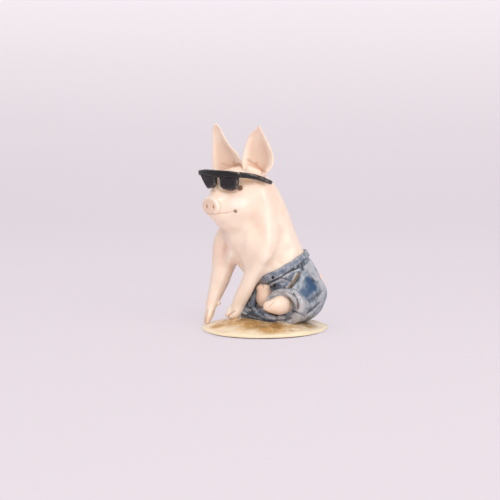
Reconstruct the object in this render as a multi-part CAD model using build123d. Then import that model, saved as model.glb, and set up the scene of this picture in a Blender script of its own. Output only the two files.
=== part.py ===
from build123d import *
import os
from math import cos, radians, sin

# Seated pig figurine in jeans and sunglasses, in millimetres.
# +Z is up, the pig faces -Y and its left is +X. The origin is the middle of the underside.

# Points on each lofted oval
oval_points = 8

# Base and the pad under it
base_length = 44.2
base_width = 40.0
rim_height = 0.6
mound_rise = 3.0
mound_shares = (1.0, 0.86, 0.6, 0.2)
pad_thickness = 0.4
pad_margin = 1.4

# Trunk stations from the seat to the neck: x, y, z, half depth, half width, lean in degrees
trunk_stations = [
    (-4.4, 12.4, 6.0, 5.4, 7.6, 4),
    (-4.5, 11.6, 12.5, 7.6, 9.6, 18),
    (-5.2, 6.8, 21.0, 10.0, 10.2, 32),
    (-6.2, 2.3, 27.5, 11.9, 11.0, 34),
    (-7.0, -1.6, 36.7, 12.4, 10.8, 28),
    (-7.0, -3.6, 43.0, 11.6, 10.2, 24),
    (-7.0, -4.8, 49.0, 7.4, 6.8, 20),
]

# Jeans stations from the ground to the waist, in the same order
jeans_stations = [
    (-3.8, 11.2, 1.6, 6.0, 9.4, 0),
    (-4.2, 12.4, 7.0, 8.7, 11.4, 6),
    (-4.5, 11.9, 13.2, 10.0, 12.0, 18),
    (-5.2, 7.2, 19.9, 10.9, 11.2, 30.5),
]
waist_roll = 5.0
band_height = 2.0
band_thickness = 0.5
loop_width = 1.1
loop_height = 2.8
loop_thickness = 0.6
loop_angles = (14, 52, 90, 128, 166)
pocket_width = 6.4
pocket_height = 6.6
pocket_thickness = 0.5
pocket_angle = 44.0
pocket_drop = 4.8
pocket_point = 0.3
rivet_radius = 0.6
rivet_height = 0.45
rivet_drop = 1.5
rivet_angle = 28.0
slit_length = 6.5
slit_width = 0.5
slit_depth = 3.4
slit_bite = 0.6
slit_drop = 3.8
slit_slant = 66.0
slit_angle = 2.0

# Bent hind legs of the jeans: x, y, z, radius, from the hip to the cuff
left_thigh = [
    (0.4, 15.0, 11.0, 5.6),
    (2.4, 12.6, 11.0, 7.8),
    (4.6, 9.4, 10.0, 7.4),
    (7.0, 6.6, 9.4, 5.7),
]
right_thigh = [
    (-9.4, 14.4, 10.6, 5.4),
    (-11.0, 10.4, 10.6, 7.4),
    (-8.0, 4.8, 10.0, 7.3),
    (-3.4, 2.0, 10.0, 6.2),
]
# Rolled cuffs: outer radius, length and thickness of the roll
left_cuff_size = (6.8, 4.2, 3.3)
right_cuff_size = (5.5, 3.4, 2.5)

# Hind feet: x, y, z, half height, half width, from the ankle to the toes
left_foot = [
    (5.0, 7.2, 9.8, 3.3, 3.6),
    (7.4, 4.2, 9.7, 3.5, 4.0),
    (9.0, 1.7, 9.3, 3.1, 3.6),
    (10.4, -0.9, 8.7, 1.6, 2.0),
]
right_foot = [
    (-6.0, 3.4, 10.6, 4.2, 3.2),
    (-3.0, 1.6, 11.0, 4.8, 3.5),
    (-0.8, 0.4, 11.5, 4.6, 3.3),
    (1.4, -0.8, 11.9, 2.8, 2.0),
]

# Forelegs from the shoulder to the sole: x, y, z, half depth, half width
left_leg = [
    (-0.6, -0.6, 38.0, 3.6, 2.0),
    (1.4, -1.8, 33.5, 5.4, 3.5),
    (2.0, -3.2, 28.0, 5.2, 3.8),
    (-0.3, -6.1, 22.0, 3.2, 2.8),
    (-1.0, -6.7, 15.6, 2.9, 2.7),
    (-2.3, -7.1, 11.0, 2.4, 2.2),
    (-3.1, -8.3, 7.8, 1.9, 2.0),
    (-3.6, -10.0, 5.2, 1.7, 2.2),
    (-3.9, -12.0, 3.4, 0.9, 1.6),
]
right_leg = [
    (-12.4, -6.4, 36.0, 3.4, 2.0),
    (-14.4, -8.6, 31.0, 5.6, 3.5),
    (-14.8, -10.3, 25.0, 5.0, 3.6),
    (-14.2, -12.0, 19.0, 3.7, 3.2),
    (-13.0, -13.9, 13.5, 3.0, 2.8),
    (-12.1, -15.6, 9.2, 2.3, 2.1),
    (-11.5, -16.8, 6.4, 1.8, 1.9),
    (-10.6, -17.8, 3.7, 1.4, 1.6),
    (-9.8, -18.5, 1.2, 0.75, 1.0),
]
cleft_width = 0.7
cleft_reach = 4.0
foot_height = 12.0
hoof_height = 6.0
dewclaw_radius = 0.75
dewclaw_spread = 0.5

# Head: its middle, the turn to the pig's left, and stations from the nape to the snout disc
head_x = -7.0
head_y = -6.8
head_z = 48.2
head_turn = 30.0
# forward, up, half width, half height
head_stations = [
    (-8.0, -1.0, 6.4, 6.6),
    (-4.0, -0.6, 9.0, 9.0),
    (0.0, -0.8, 9.8, 9.5),
    (4.0, -1.8, 9.6, 9.7),
    (8.0, -3.0, 7.6, 8.2),
    (11.5, -4.2, 4.8, 5.2),
    (14.6, -4.8, 3.4, 3.1),
]
snout_stations = [(13.0, -4.75, 3.7, 3.1), (14.2, -4.75, 4.0, 3.4), (15.3, -4.75, 3.5, 2.9)]
mouth_drop = 7.4
mouth_start = 8.0
mouth_width = 0.35
mouth_depth = 0.5
lip_step = 1.3
nostril_radius = 0.6
nostril_spread = 1.45
nostril_depth = 1.1
eye_radius = 1.3
eye_spread = 6.9
eye_up = 1.0
eye_forward = 6.2

# Ears: distance along from the root, edge towards the pig's right, edge towards its left, cup depth
ear_skin = 1.1
ear_tip_share = 0.4
left_ear_rows = [
    (-1.6, -2.4, 3.4, 2.6),
    (3.0, -5.0, 6.3, 2.6),
    (7.0, -4.9, 5.8, 2.1),
    (11.3, -3.8, 3.5, 1.4),
    (15.9, -0.5, 0.3, 0.2),
]
right_ear_rows = [
    (-1.6, -4.4, 5.0, 2.3),
    (3.5, -5.7, 5.4, 2.3),
    (8.7, -4.7, 2.4, 1.6),
    (13.0, -3.4, 0.6, 1.0),
    (17.0, -1.1, -0.3, 0.2),
]
# Roots and tips as left, up, forward from the head's middle; turn is from the head's own facing
left_ear_root = (7.3, 6.1, 0.2)
left_ear_tip = (7.9, 22.0, -1.2)
left_ear_turn = 25.0
right_ear_root = (-5.6, 6.2, 0.2)
right_ear_tip = (-8.4, 22.5, 2.4)
right_ear_turn = 20.0

# Sunglasses
glasses_width = 20.4
glasses_forward = 11.5
glasses_wrap = 35.0
glasses_top = 7.4
glasses_thickness = 1.3
bar_height = 1.6
lens_rim = 0.45
lens_corner = 1.2
lens_thickness = 0.7
# Lens corners as shares of half the glasses' width: top inner, top outer, low outer, low inner,
# and how far the low outer and low inner corners hang under the bar
left_lens_shares = (0.16, 0.95, 0.9, 0.21)
left_lens_drop = (5.0, 4.8)
right_lens_shares = (0.0, -0.97, -0.5, -0.04)
right_lens_drop = (4.9, 3.9)
temple_length = 15.2
temple_height = 1.8
temple_thickness = 1.1
temple_drop = 3.8
temple_inset = 0.5

# Tail
tail_x = -4.6
tail_y = 21.3
tail_z = 15.8
tail_curl = 1.5
tail_radius = 0.75
tail_turn = 300.0


def leaning(lean, roll=0.0):
    flat = cos(radians(roll))
    return Vector(-sin(radians(roll)), -sin(radians(lean)) * flat, cos(radians(lean)) * flat)


def smooth_oval(half_across, half_along):
    turns = [radians(360 * step / oval_points) for step in range(oval_points)]
    points = [(half_across * cos(turn), half_along * sin(turn)) for turn in turns]
    return make_face(Spline(*points, periodic=True))


def oval(spot, facing, across, half_across, half_along):
    return Plane(origin=spot, x_dir=across, z_dir=facing) * smooth_oval(half_across, half_along)


def trunk_loft(stations, grow=0.0):
    rings = []
    for x, y, z, half_depth, half_width, lean in stations:
        rings.append(oval((x, y, z), leaning(lean), (1, 0, 0), half_width + grow, half_depth + grow))
    return loft(rings)


def limb_loft(stations):
    spots = [Vector(*row[:3]) for row in stations]
    rings = []
    for number, row in enumerate(stations):
        before = spots[max(number - 1, 0)]
        after = spots[min(number + 1, len(spots) - 1)]
        rings.append(oval(spots[number], (after - before).normalized(), (1, 0, 0), row[4], row[3]))
    return loft(rings)


def main_solid(shape):
    return max(shape.solids(), key=lambda solid: solid.volume)


def carve(shape, *cutters):
    solids = shape.solids()
    for cutter in cutters:
        cuts = [solid - cutter for solid in solids]
        solids = [solid for cut in cuts if cut for solid in cut.solids()]
    return max(solids, key=lambda solid: solid.volume)


# Base: a rim with a low mound lofted on it, and a pad under it
rim = Pos(0, 0, pad_thickness) * extrude(Ellipse(base_width / 2, base_length / 2), rim_height)
mound_rings = []
for share in mound_shares:
    height = pad_thickness + rim_height + mound_rise * (1 - share**2)
    mound_rings.append(Pos(0, 0, height) * Ellipse(base_width / 2 * share, base_length / 2 * share))
base_plate = main_solid(rim + loft(mound_rings))
base_pad = extrude(Ellipse(base_width / 2 - pad_margin, base_length / 2 - pad_margin), pad_thickness)

# Trunk, running down inside the jeans
torso = main_solid(trunk_loft(trunk_stations))


# Hind feet with a cleft between the toes
def hind_foot(stations):
    form = limb_loft(stations)
    toe = Vector(*stations[-1][:3])
    along = (toe - Vector(*stations[-2][:3])).normalized()
    cleft = Plane(origin=toe, x_dir=(1, 0, 0), z_dir=along) * Box(cleft_width, foot_height, cleft_reach)
    return form - cleft


left_foot_form = hind_foot(left_foot)
right_foot_form = hind_foot(right_foot)
left_hind_foot = carve(left_foot_form, torso)
right_hind_foot = carve(right_foot_form, torso)

# Jeans: hips and both bent legs, cut off under the waistband and opened for the trunk and the feet
waist_x, waist_y, waist_z, waist_deep, waist_wide, waist_lean = jeans_stations[-1]
waist_up = leaning(waist_lean)
above_waist = Vector(waist_x, waist_y, waist_z) + waist_up * (3 * band_height)
long_stations = jeans_stations + [(*above_waist, waist_deep, waist_wide, waist_lean)]
waist_plane = Plane(
    origin=(waist_x, waist_y, waist_z), x_dir=(1, 0, 0), z_dir=leaning(waist_lean, waist_roll)
)
band_room = waist_plane * Pos(0, 0, band_height / 2) * Box(base_width, base_length, band_height)
cut_off = waist_plane * Pos(0, 0, base_length / 2) * Box(base_width, base_length, base_length)


def thigh_loft(stations):
    return limb_loft([(x, y, z, radius, radius) for x, y, z, radius in stations])


hips = trunk_loft(long_stations)
jeans_form = (hips + thigh_loft(left_thigh) + thigh_loft(right_thigh)) - cut_off


def outward_plane(angle, rise):
    return waist_plane * Pos(0, 0, rise) * Rot(0, 0, angle) * Rot(0, 90, 0)


# A slanted slit in each hip for the front pocket
slits = []
for angle, slant in ((-slit_angle, -slit_slant), (180 + slit_angle, slit_slant)):
    middle = outward_plane(angle, -slit_drop) * Pos(0, 0, waist_wide - slit_bite + slit_depth / 2)
    slits.append(middle * Rot(0, 0, slant) * Box(slit_length, slit_width, slit_depth))

jeans = carve(jeans_form, torso, base_plate, left_foot_form, right_foot_form, *slits)

waistband = carve(trunk_loft(long_stations, band_thickness) & band_room, torso)

pieces = {
    "base_plate": base_plate,
    "base_pad": base_pad,
    "torso": torso,
    "jeans": jeans,
    "waistband": waistband,
    "left_hind_foot": left_hind_foot,
    "right_hind_foot": right_hind_foot,
}

# Strips and studs applied over the waistband and the hips
def applied(prism, thickness):
    return carve(prism & trunk_loft(long_stations, thickness), jeans, waistband, torso)


belt_loops = []
for angle in loop_angles:
    prism = outward_plane(angle, band_height / 2) * Pos(0, 0, waist_wide)
    prism = prism * Box(loop_height, loop_width, waist_wide)
    belt_loops.append(applied(prism, band_thickness + loop_thickness))
pieces["belt_loops"] = Compound(children=belt_loops)

pocket_outline = Polygon(
    (-pocket_height / 2, -pocket_width / 2),
    (pocket_height * pocket_point, -pocket_width / 2),
    (pocket_height / 2, 0),
    (pocket_height * pocket_point, pocket_width / 2),
    (-pocket_height / 2, pocket_width / 2),
    align=None,
)
back_pockets = []
for angle in (90 - pocket_angle, 90 + pocket_angle):
    prism = outward_plane(angle, -pocket_drop) * extrude(pocket_outline, 2 * waist_wide)
    back_pockets.append(applied(prism, pocket_thickness))
pieces["back_pockets"] = Compound(children=back_pockets)

rivets = []
for angle in (-rivet_angle, 180 + rivet_angle):
    for rise, cover in ((band_height / 2, band_thickness), (-rivet_drop, 0.0)):
        prism = outward_plane(angle, rise) * Pos(0, 0, waist_wide) * Cylinder(rivet_radius, waist_wide)
        rivets.append(applied(prism, cover + rivet_height))
pieces["pocket_rivets"] = Compound(children=rivets)


# Rolled cuffs round the ends of the legs
def rolled_cuff(thigh, size):
    radius, length, thickness = size
    end = Vector(*thigh[-1][:3])
    along = (end - Vector(*thigh[-2][:3])).normalized()
    roll = SlotCenterToCenter(length - thickness, thickness, rotation=90)
    ring = revolve(Plane.XZ * Pos(radius - thickness / 2, 0) * roll, Axis.Z)
    return Plane(origin=end, x_dir=(1, 0, 0), z_dir=along) * ring


inside_cuffs = (jeans, waistband, base_plate, left_foot_form, right_foot_form, torso)
left_cuff = carve(rolled_cuff(left_thigh, left_cuff_size), *inside_cuffs)
pieces["left_cuff"] = left_cuff
pieces["right_cuff"] = carve(rolled_cuff(right_thigh, right_cuff_size), *inside_cuffs, left_cuff)


# Forelegs with a cleft hoof and two dewclaws, cut to the trunk and the ground
def foreleg(stations):
    form = carve(limb_loft(stations), torso, base_plate)
    x, y, z, half_depth, half_width = stations[-3]
    for side in (-dewclaw_spread, dewclaw_spread):
        spot = Pos(x + side * half_width, y + half_depth, z)
        form = form + spot * Rot(0, 0, 90) * Sphere(dewclaw_radius)
    x, y, z, half_depth, half_width = stations[-1]
    cleft = Pos(x, y - half_depth, z) * Box(cleft_width, 2 * half_depth, hoof_height)
    return main_solid(form - cleft)


pieces["left_foreleg"] = foreleg(left_leg)
pieces["right_foreleg"] = foreleg(right_leg)

# Head: a turned loft with a snout disc, mouth line, nostrils and eyes
head_facing = Vector(sin(radians(head_turn)), -cos(radians(head_turn)), 0)
head_left = Vector(cos(radians(head_turn)), sin(radians(head_turn)), 0)


def head_point(left, up, forward):
    return Vector(head_x, head_y, head_z) + head_left * left + Vector(0, 0, up) + head_facing * forward


def head_plane(left, up, forward):
    return Plane(origin=head_point(left, up, forward), x_dir=head_left, z_dir=head_facing)


def head_loft(stations, grow=0.0):
    rings = []
    for forward, up, half_width, half_height in stations:
        rings.append(head_plane(0, up, forward) * smooth_oval(half_width + grow, half_height + grow))
    return loft(rings)


head_form = head_loft(head_stations) + head_loft(snout_stations)
snout_end = snout_stations[-1][0]
mouth_reach = snout_end - mouth_start
mouth_slab = head_plane(0, -mouth_drop, mouth_start + mouth_reach / 2)
mouth_slab = mouth_slab * Box(base_width, mouth_width, mouth_reach)
head_form = head_form - (mouth_slab - head_loft(head_stations, -mouth_depth))
lip = head_plane(0, -mouth_drop - base_width / 2, snout_end - lip_step / 2)
head_form = head_form - lip * Box(base_width, base_width, lip_step)
for side in (-1, 1):
    nostril = head_plane(side * nostril_spread, snout_stations[-1][1], snout_end)
    head_form = head_form - nostril * Cylinder(nostril_radius, 2 * nostril_depth)
    eye = Pos(*head_point(side * eye_spread, eye_up, eye_forward)) * Rot(0, 0, head_turn + 90 - side * 90)
    head_form = head_form + eye * Sphere(eye_radius)
head = carve(head_form, torso)
pieces["head"] = head


# Ears: cupped leaves lofted through crescents
def ear(root_place, tip_place, turn, rows):
    root = head_point(*root_place)
    axis = (head_point(*tip_place) - root).normalized()
    facing = head_facing * cos(radians(turn)) + head_left * sin(radians(turn))
    across = axis.cross(facing).normalized()
    widest = max(left_edge - right_edge for along, right_edge, left_edge, cup in rows)
    rings = []
    for along, right_edge, left_edge, cup in rows:
        half = (left_edge - right_edge) / 2
        skin = ear_skin * (ear_tip_share + (1 - ear_tip_share) * 2 * half / widest)
        middle = across * ((left_edge + right_edge) / 2) + facing * (cup / 2)
        front = ThreePointArc((half, 0), (0, cup - skin / 2), (-half, 0))
        back = ThreePointArc((-half, 0), (0, cup + skin / 2), (half, 0))
        spot = Plane(origin=root + axis * along + middle, x_dir=across, z_dir=axis)
        rings.append(spot * make_face(back + front))
    return carve(loft(rings), head, torso)


pieces["left_ear"] = ear(left_ear_root, left_ear_tip, left_ear_turn, left_ear_rows)
pieces["right_ear"] = ear(right_ear_root, right_ear_tip, right_ear_turn, right_ear_rows)


# Sunglasses: outlines cut from a curved shell in front of the face
def shell_between(outer, inner):
    middle = head_point(0, 0, glasses_forward - glasses_wrap)
    return Pos(*middle) * (Cylinder(outer, base_length) - Cylinder(inner, base_length))


half_glasses = glasses_width / 2
lens_top = glasses_top - bar_height
bar = Pos(0, glasses_top - bar_height / 2) * Rectangle(glasses_width, bar_height)
front = bar
lenses = {}
for name, shares, drops in (
    ("left_lens", left_lens_shares, left_lens_drop),
    ("right_lens", right_lens_shares, right_lens_drop),
):
    top_inner, top_outer, low_outer, low_inner = (share * half_glasses for share in shares)
    rough = Polygon(
        (top_inner, lens_top),
        (top_outer, lens_top),
        (low_outer, lens_top - drops[0]),
        (low_inner, lens_top - drops[1]),
        align=None,
    )
    rounded = fillet(rough.vertices().sort_by(Axis.Y)[:2], lens_corner)
    front = front + rounded
    lenses[name] = offset(rounded, -lens_rim)
    front = front - lenses[name]
frame_shell = shell_between(glasses_wrap, glasses_wrap - glasses_thickness)
lens_shell = shell_between(glasses_wrap - lens_rim, glasses_wrap - lens_rim - lens_thickness)
frame = carve(extrude(head_plane(0, 0, 0) * front, 2 * glasses_forward, both=True) & frame_shell, head)
pieces["sunglasses_frame"] = frame
for name, outline in lenses.items():
    prism = extrude(head_plane(0, 0, 0) * outline, 2 * glasses_forward, both=True)
    pieces[name] = carve(prism & lens_shell, head)


# Temples: tapering bars from the frame back along the head
def temple(side):
    bend = glasses_wrap - (glasses_wrap**2 - half_glasses**2) ** 0.5
    start = glasses_forward - bend - glasses_thickness / 2
    high = glasses_top - temple_height / 2
    out = half_glasses - temple_thickness / 2
    rings = [
        head_plane(side * out, high, start) * Rectangle(temple_thickness, temple_height),
        head_plane(side * (out - temple_inset), high - temple_drop, start - temple_length)
        * Rectangle(temple_thickness, temple_height),
    ]
    return carve(loft(rings), head, torso, frame, pieces["left_ear"], pieces["right_ear"])


pieces["left_temple"] = temple(1)
pieces["right_temple"] = temple(-1)

# Tail: a curl lying against the seat of the jeans
ring = Pos(tail_x, tail_y, tail_z) * revolve(Pos(tail_curl, 0) * Circle(tail_radius), Axis.Y, tail_turn)
pieces["tail"] = carve(ring, jeans, torso)

os.makedirs("parts", exist_ok=True)
for name, piece in pieces.items():
    export_step(piece, f"parts/{name}.step")
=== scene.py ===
import math
import bpy
import numpy as np
from mathutils import Matrix, Vector


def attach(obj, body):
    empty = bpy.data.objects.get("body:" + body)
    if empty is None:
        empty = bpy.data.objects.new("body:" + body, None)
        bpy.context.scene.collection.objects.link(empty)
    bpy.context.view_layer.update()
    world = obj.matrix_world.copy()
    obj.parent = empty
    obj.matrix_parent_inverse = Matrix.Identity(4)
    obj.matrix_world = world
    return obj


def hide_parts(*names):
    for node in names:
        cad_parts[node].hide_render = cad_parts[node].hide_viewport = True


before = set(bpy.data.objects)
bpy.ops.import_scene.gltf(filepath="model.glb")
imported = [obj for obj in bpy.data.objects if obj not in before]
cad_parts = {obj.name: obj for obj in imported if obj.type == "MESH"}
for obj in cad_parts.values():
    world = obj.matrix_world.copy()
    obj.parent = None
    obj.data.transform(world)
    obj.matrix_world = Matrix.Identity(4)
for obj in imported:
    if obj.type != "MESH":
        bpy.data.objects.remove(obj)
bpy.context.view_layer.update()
scene = bpy.context.scene
scene.view_settings.view_transform = "Standard"
mm = 0.001
farOff = 50.0


# Clay: a block of distances in millimetres that pieces are pressed into, then skinned
def newBlock(low, high, step):
    low = np.array(low, float)
    size = np.ceil((np.array(high, float) - low) / step).astype(int) + 1
    return {"low": low, "step": step, "size": size, "field": np.full(size, farOff, np.float32)}


def windowOf(block, low, high):
    start, step, size = block["low"], block["step"], block["size"]
    first = np.clip(np.floor((np.array(low) - start) / step).astype(int), 0, size)
    last = np.clip(np.ceil((np.array(high) - start) / step).astype(int) + 1, 0, size)
    cut = tuple(slice(a, b) for a, b in zip(first, last))
    axes = [start[i] + step * np.arange(first[i], last[i]) for i in range(3)]
    grid = np.meshgrid(*axes, indexing="ij", sparse=True)
    return cut, [g.astype(np.float32) for g in grid]


def softMin(a, b, blend):
    if blend <= 0:
        return np.minimum(a, b)
    h = np.maximum(blend - np.abs(a - b), 0) / blend
    return np.minimum(a, b) - h * h * blend * 0.25


def merge(view, d, blend, cutting):
    view[...] = -softMin(-view, d, blend) if cutting else softMin(view, d, blend)


def margin(block, blend):
    return blend + 4 * block["step"] + 0.6


def press(block, low, high, distance, blend, cutting=False):
    pad = margin(block, blend)
    cut, grid = windowOf(block, np.array(low) - pad, np.array(high) + pad)
    view = block["field"][cut]
    if view.size:
        merge(view, distance(*grid), blend, cutting)


def wholeOf(block):
    return block["low"], block["low"] + block["step"] * block["size"]


def unit(v):
    v = np.array(v, float)
    return v / np.linalg.norm(v)


def dot(x, y, z, way):
    return x * way[0] + y * way[1] + z * way[2]


# distance to a rounded form, from pairs of an offset and a radius
def roundForm(*pairs):
    k = np.sqrt(sum((q / r) ** 2 for q, r in pairs))
    g = np.sqrt(sum((q / r ** 2) ** 2 for q, r in pairs))
    return k * (k - 1) / (g + 1e-6)


def addEgg(block, centre, radii, blend, axes=None, cutting=False):
    c = np.array(centre, float)
    axes = np.eye(3) if axes is None else np.array([unit(a) for a in axes])
    reach = max(radii)

    def distance(x, y, z):
        p = (x - c[0], y - c[1], z - c[2])
        return roundForm(*((dot(*p, axis), r) for axis, r in zip(axes, radii)))

    press(block, c - reach, c + reach, distance, blend, cutting)


def smoothRows(rows, pieces):
    rows = np.array(rows, float)
    ends = np.vstack([2 * rows[0] - rows[1], rows, 2 * rows[-1] - rows[-2]])
    out = []
    for i in range(len(rows) - 1):
        a, b, c, d = ends[i:i + 4]
        for t in np.arange(pieces) / pieces:
            square, cube = 2 * a - 5 * b + 4 * c - d, 3 * b - a - 3 * c + d
            out.append(0.5 * (2 * b + (c - a) * t + square * t * t + cube * t ** 3))
    return np.array(out + [rows[-1]])


# rows are x, y, z, half depth, half width
def addTube(block, rows, blend, across=(1, 0, 0), pieces=4, cutting=False):
    rows = smoothRows(rows, pieces) if len(rows) > 2 and pieces > 1 else np.array(rows, float)
    low = (rows[:, :3] - rows[:, 3:].max(1, keepdims=True)).min(0)
    high = (rows[:, :3] + rows[:, 3:].max(1, keepdims=True)).max(0)
    pad = margin(block, blend)
    cut, whole = windowOf(block, low - pad, high + pad)
    mine = {"low": np.array([g.flat[0] for g in whole]), "step": block["step"]}
    mine["size"] = np.array([g.size for g in whole])
    mine["field"] = np.full(mine["size"], farOff, np.float32)
    for a, b in zip(rows[:-1], rows[1:]):
        run = b[:3] - a[:3]
        long = run @ run
        axis = unit(run)
        side = unit(np.array(across) - axis * (np.array(across) @ axis))
        deep = np.cross(axis, side)

        def distance(x, y, z):
            px, py, pz = x - a[0], y - a[1], z - a[2]
            t = np.clip(dot(px, py, pz, run) / long, 0, 1)
            px, py, pz = px - run[0] * t, py - run[1] * t, pz - run[2] * t
            rd = a[3] + (b[3] - a[3]) * t
            rw = a[4] + (b[4] - a[4]) * t
            radii = ((side, rw), (deep, rd), (axis, np.minimum(rd, rw)))
            return roundForm(*((dot(px, py, pz, way), r) for way, r in radii))

        r = max(a[3], a[4], b[3], b[4])
        press(mine, np.minimum(a[:3], b[:3]) - r, np.maximum(a[:3], b[:3]) + r, distance, 0.0)
    merge(block["field"][cut], mine["field"], blend, cutting)


def readField(block, points, field=None):
    field = block["field"] if field is None else field
    q = (points - block["low"]) / block["step"]
    i = np.clip(np.floor(q).astype(int), 0, np.array(field.shape) - 2)
    f = np.clip(q - i, 0, 1)
    total = 0
    for dx in (0, 1):
        for dy in (0, 1):
            for dz in (0, 1):
                w = 1
                for axis, high in enumerate((dx, dy, dz)):
                    w = w * (f[:, axis] if high else 1 - f[:, axis])
                total = total + w * field[i[:, 0] + dx, i[:, 1] + dy, i[:, 2] + dz]
    return total


def slopeOf(block, points):
    h = block["step"] * 0.8
    rise = [readField(block, points + h * e) - readField(block, points - h * e) for e in np.eye(3)]
    return np.stack(rise, 1) / (2 * h)


def ontoSurface(block, points, rounds=3):
    points = np.array(points, float)
    for _ in range(rounds):
        g = slopeOf(block, points)
        points = points - readField(block, points)[:, None] * g / ((g * g).sum(1, keepdims=True) + 1e-4)
    return points


# a ridge or groove along a path on the surface, lifted off it or sunk into it
def addLine(block, path, size, blend, lift=0.0, cutting=False):
    rows = [(*(p + lift * n), size, size) for p, n in zip(path, slopeOf(block, path))]
    addTube(block, rows, blend, cutting=cutting)


# quads with one point in every cell that the surface crosses
def netOf(block):
    f = block["field"]
    inside = f < 0
    corner = [(i, j, k) for i in (0, 1) for j in (0, 1) for k in (0, 1)]
    part = lambda a, c: a[tuple(slice(k, a.shape[i] - 1 + k) for i, k in enumerate(c))]
    count = sum(part(inside, c).astype(np.int8) for c in corner)
    cells = np.argwhere((count > 0) & (count < 8))
    number = np.full(count.shape, -1, np.int32)
    number[tuple(cells.T)] = np.arange(len(cells))
    value = [part(f, c)[tuple(cells.T)] for c in corner]
    total = np.zeros((len(cells), 3))
    hits = np.zeros(len(cells))
    for a in range(8):
        for b in range(a + 1, 8):
            ca, cb = np.array(corner[a]), np.array(corner[b])
            if np.abs(ca - cb).sum() != 1:
                continue
            cross = (value[a] < 0) != (value[b] < 0)
            t = value[a][cross] / (value[a][cross] - value[b][cross])
            total[cross] += ca + t[:, None] * (cb - ca)
            hits[cross] += 1
    points = block["low"] + (cells + total / hits[:, None]) * block["step"]
    quads = []
    for axis in range(3):
        u, v = (axis + 1) % 3, (axis + 2) % 3
        first = [slice(1, -1)] * 3
        second = [slice(1, -1)] * 3
        first[axis], second[axis] = slice(0, -1), slice(1, None)
        here, there = inside[tuple(first)], inside[tuple(second)]
        at = np.argwhere(here != there)
        out = here[tuple(at.T)]
        offset = np.ones(3, int)
        offset[axis] = 0
        at = at + offset
        eu, ev = np.eye(3, dtype=int)[u], np.eye(3, dtype=int)[v]
        ring = [number[tuple((at - du * eu - dv * ev).T)] for du, dv in ((1, 1), (0, 1), (0, 0), (1, 0))]
        quad = np.stack(ring, 1)
        quad[~out] = quad[~out][:, ::-1]
        quads.append(quad)
    return points, np.concatenate(quads)


def relax(block, points, quads, rounds):
    edges = np.concatenate([quads[:, [0, 1]], quads[:, [1, 2]], quads[:, [2, 3]], quads[:, [3, 0]]])
    n = len(points)
    many = np.bincount(edges.ravel(), minlength=n)[:, None]
    a, b = edges.T
    for _ in range(rounds):
        near = [np.bincount(a, points[b, i], n) + np.bincount(b, points[a, i], n) for i in range(3)]
        points = ontoSurface(block, 0.5 * points + 0.5 * np.stack(near, 1) / many, 1)
    return points


# above zero in hollows and below it on edges, from how full the clay is nearby
def hollowness(block, points, radius):
    filled = (block["field"] < 0).astype(np.float32)
    reach = max(1, int(round(radius / block["step"])))
    wide = 2 * reach + 1
    for axis in range(3):
        pad = [(reach + 1, reach) if i == axis else (0, 0) for i in range(3)]
        take = lambda s: tuple(s if i == axis else slice(None) for i in range(3))
        for _ in range(2):
            run = np.cumsum(np.pad(filled, pad), axis=axis, dtype=np.float32)
            filled = (run[take(slice(wide, None))] - run[take(slice(0, -wide))]) / wide
    return readField(block, points, filled) * 2 - 1


def meshPiece(name, points, faces, material, marks=None):
    mesh = bpy.data.meshes.new(name)
    mesh.vertices.add(len(points))
    mesh.vertices.foreach_set("co", (np.asarray(points) * mm).astype(np.float32).ravel())
    corners = np.array([len(face) for face in faces], np.int32)
    mesh.loops.add(int(corners.sum()))
    mesh.polygons.add(len(faces))
    mesh.loops.foreach_set("vertex_index", np.concatenate(faces).astype(np.int32))
    mesh.polygons.foreach_set("loop_start", np.append(0, np.cumsum(corners)[:-1]).astype(np.int32))
    mesh.polygons.foreach_set("use_smooth", np.ones(len(faces), bool))
    for mark, values in (marks or {}).items():
        data = mesh.attributes.new(mark, "FLOAT", "POINT").data
        data.foreach_set("value", np.asarray(values, np.float32))
    mesh.update()
    mesh.validate()
    piece = bpy.data.objects.new(name, mesh)
    scene.collection.objects.link(piece)
    piece.data.materials.append(material)
    return piece


# rings of points joined into a skin, capped at both ends or closed round
def ringFaces(n, m, closed=False, inward=False):
    faces = []
    for i in range(n if closed else n - 1):
        here, there = i * m, (i + 1) % n * m
        faces += [(here + j, there + j, there + (j + 1) % m, here + (j + 1) % m) for j in range(m)]
    if not closed:
        last = (n - 1) * m
        faces += [(n * m, j, (j + 1) % m) for j in range(m)]
        faces += [(n * m + 1, last + (j + 1) % m, last + j) for j in range(m)]
    return [(face[0], *face[:0:-1]) for face in faces] if inward else faces


def capped(rings):
    return np.vstack([rings.reshape(-1, 3), rings[0].mean(0), rings[-1].mean(0)])


def nearLine(points, line):
    best = np.full(len(points), 99.0)
    line = np.atleast_2d(np.array(line, float))
    if len(line) == 1:
        return np.linalg.norm(points - line[0], axis=1)
    for a, b in zip(line[:-1], line[1:]):
        run = b - a
        t = np.clip(((points - a) @ run) / (run @ run), 0, 1)
        best = np.minimum(best, np.linalg.norm(points - a - t[:, None] * run, axis=1))
    return best


def fade(d, near, far):
    t = np.clip((far - d) / (far - near), 0, 1)
    return t * t * (3 - 2 * t)


# Materials
def newMaterial(name):
    material = bpy.data.materials.new(name)
    material.use_nodes = True
    tree = material.node_tree
    return material, tree, tree.nodes["Principled BSDF"]


def srgb(r, g, b):
    lin = [c / 255 / 12.92 if c <= 10 else ((c / 255 + 0.055) / 1.055) ** 2.4 for c in (r, g, b)]
    return (*lin, 1.0)


def link(tree, a, b):
    tree.links.new(a, b)


def fill(node, **values):
    for name, value in values.items():
        node.inputs[name.replace("_", " ")].default_value = value


def markNode(tree, mark):
    node = tree.nodes.new("ShaderNodeAttribute")
    node.attribute_name = mark
    return node.outputs["Fac"]


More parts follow.
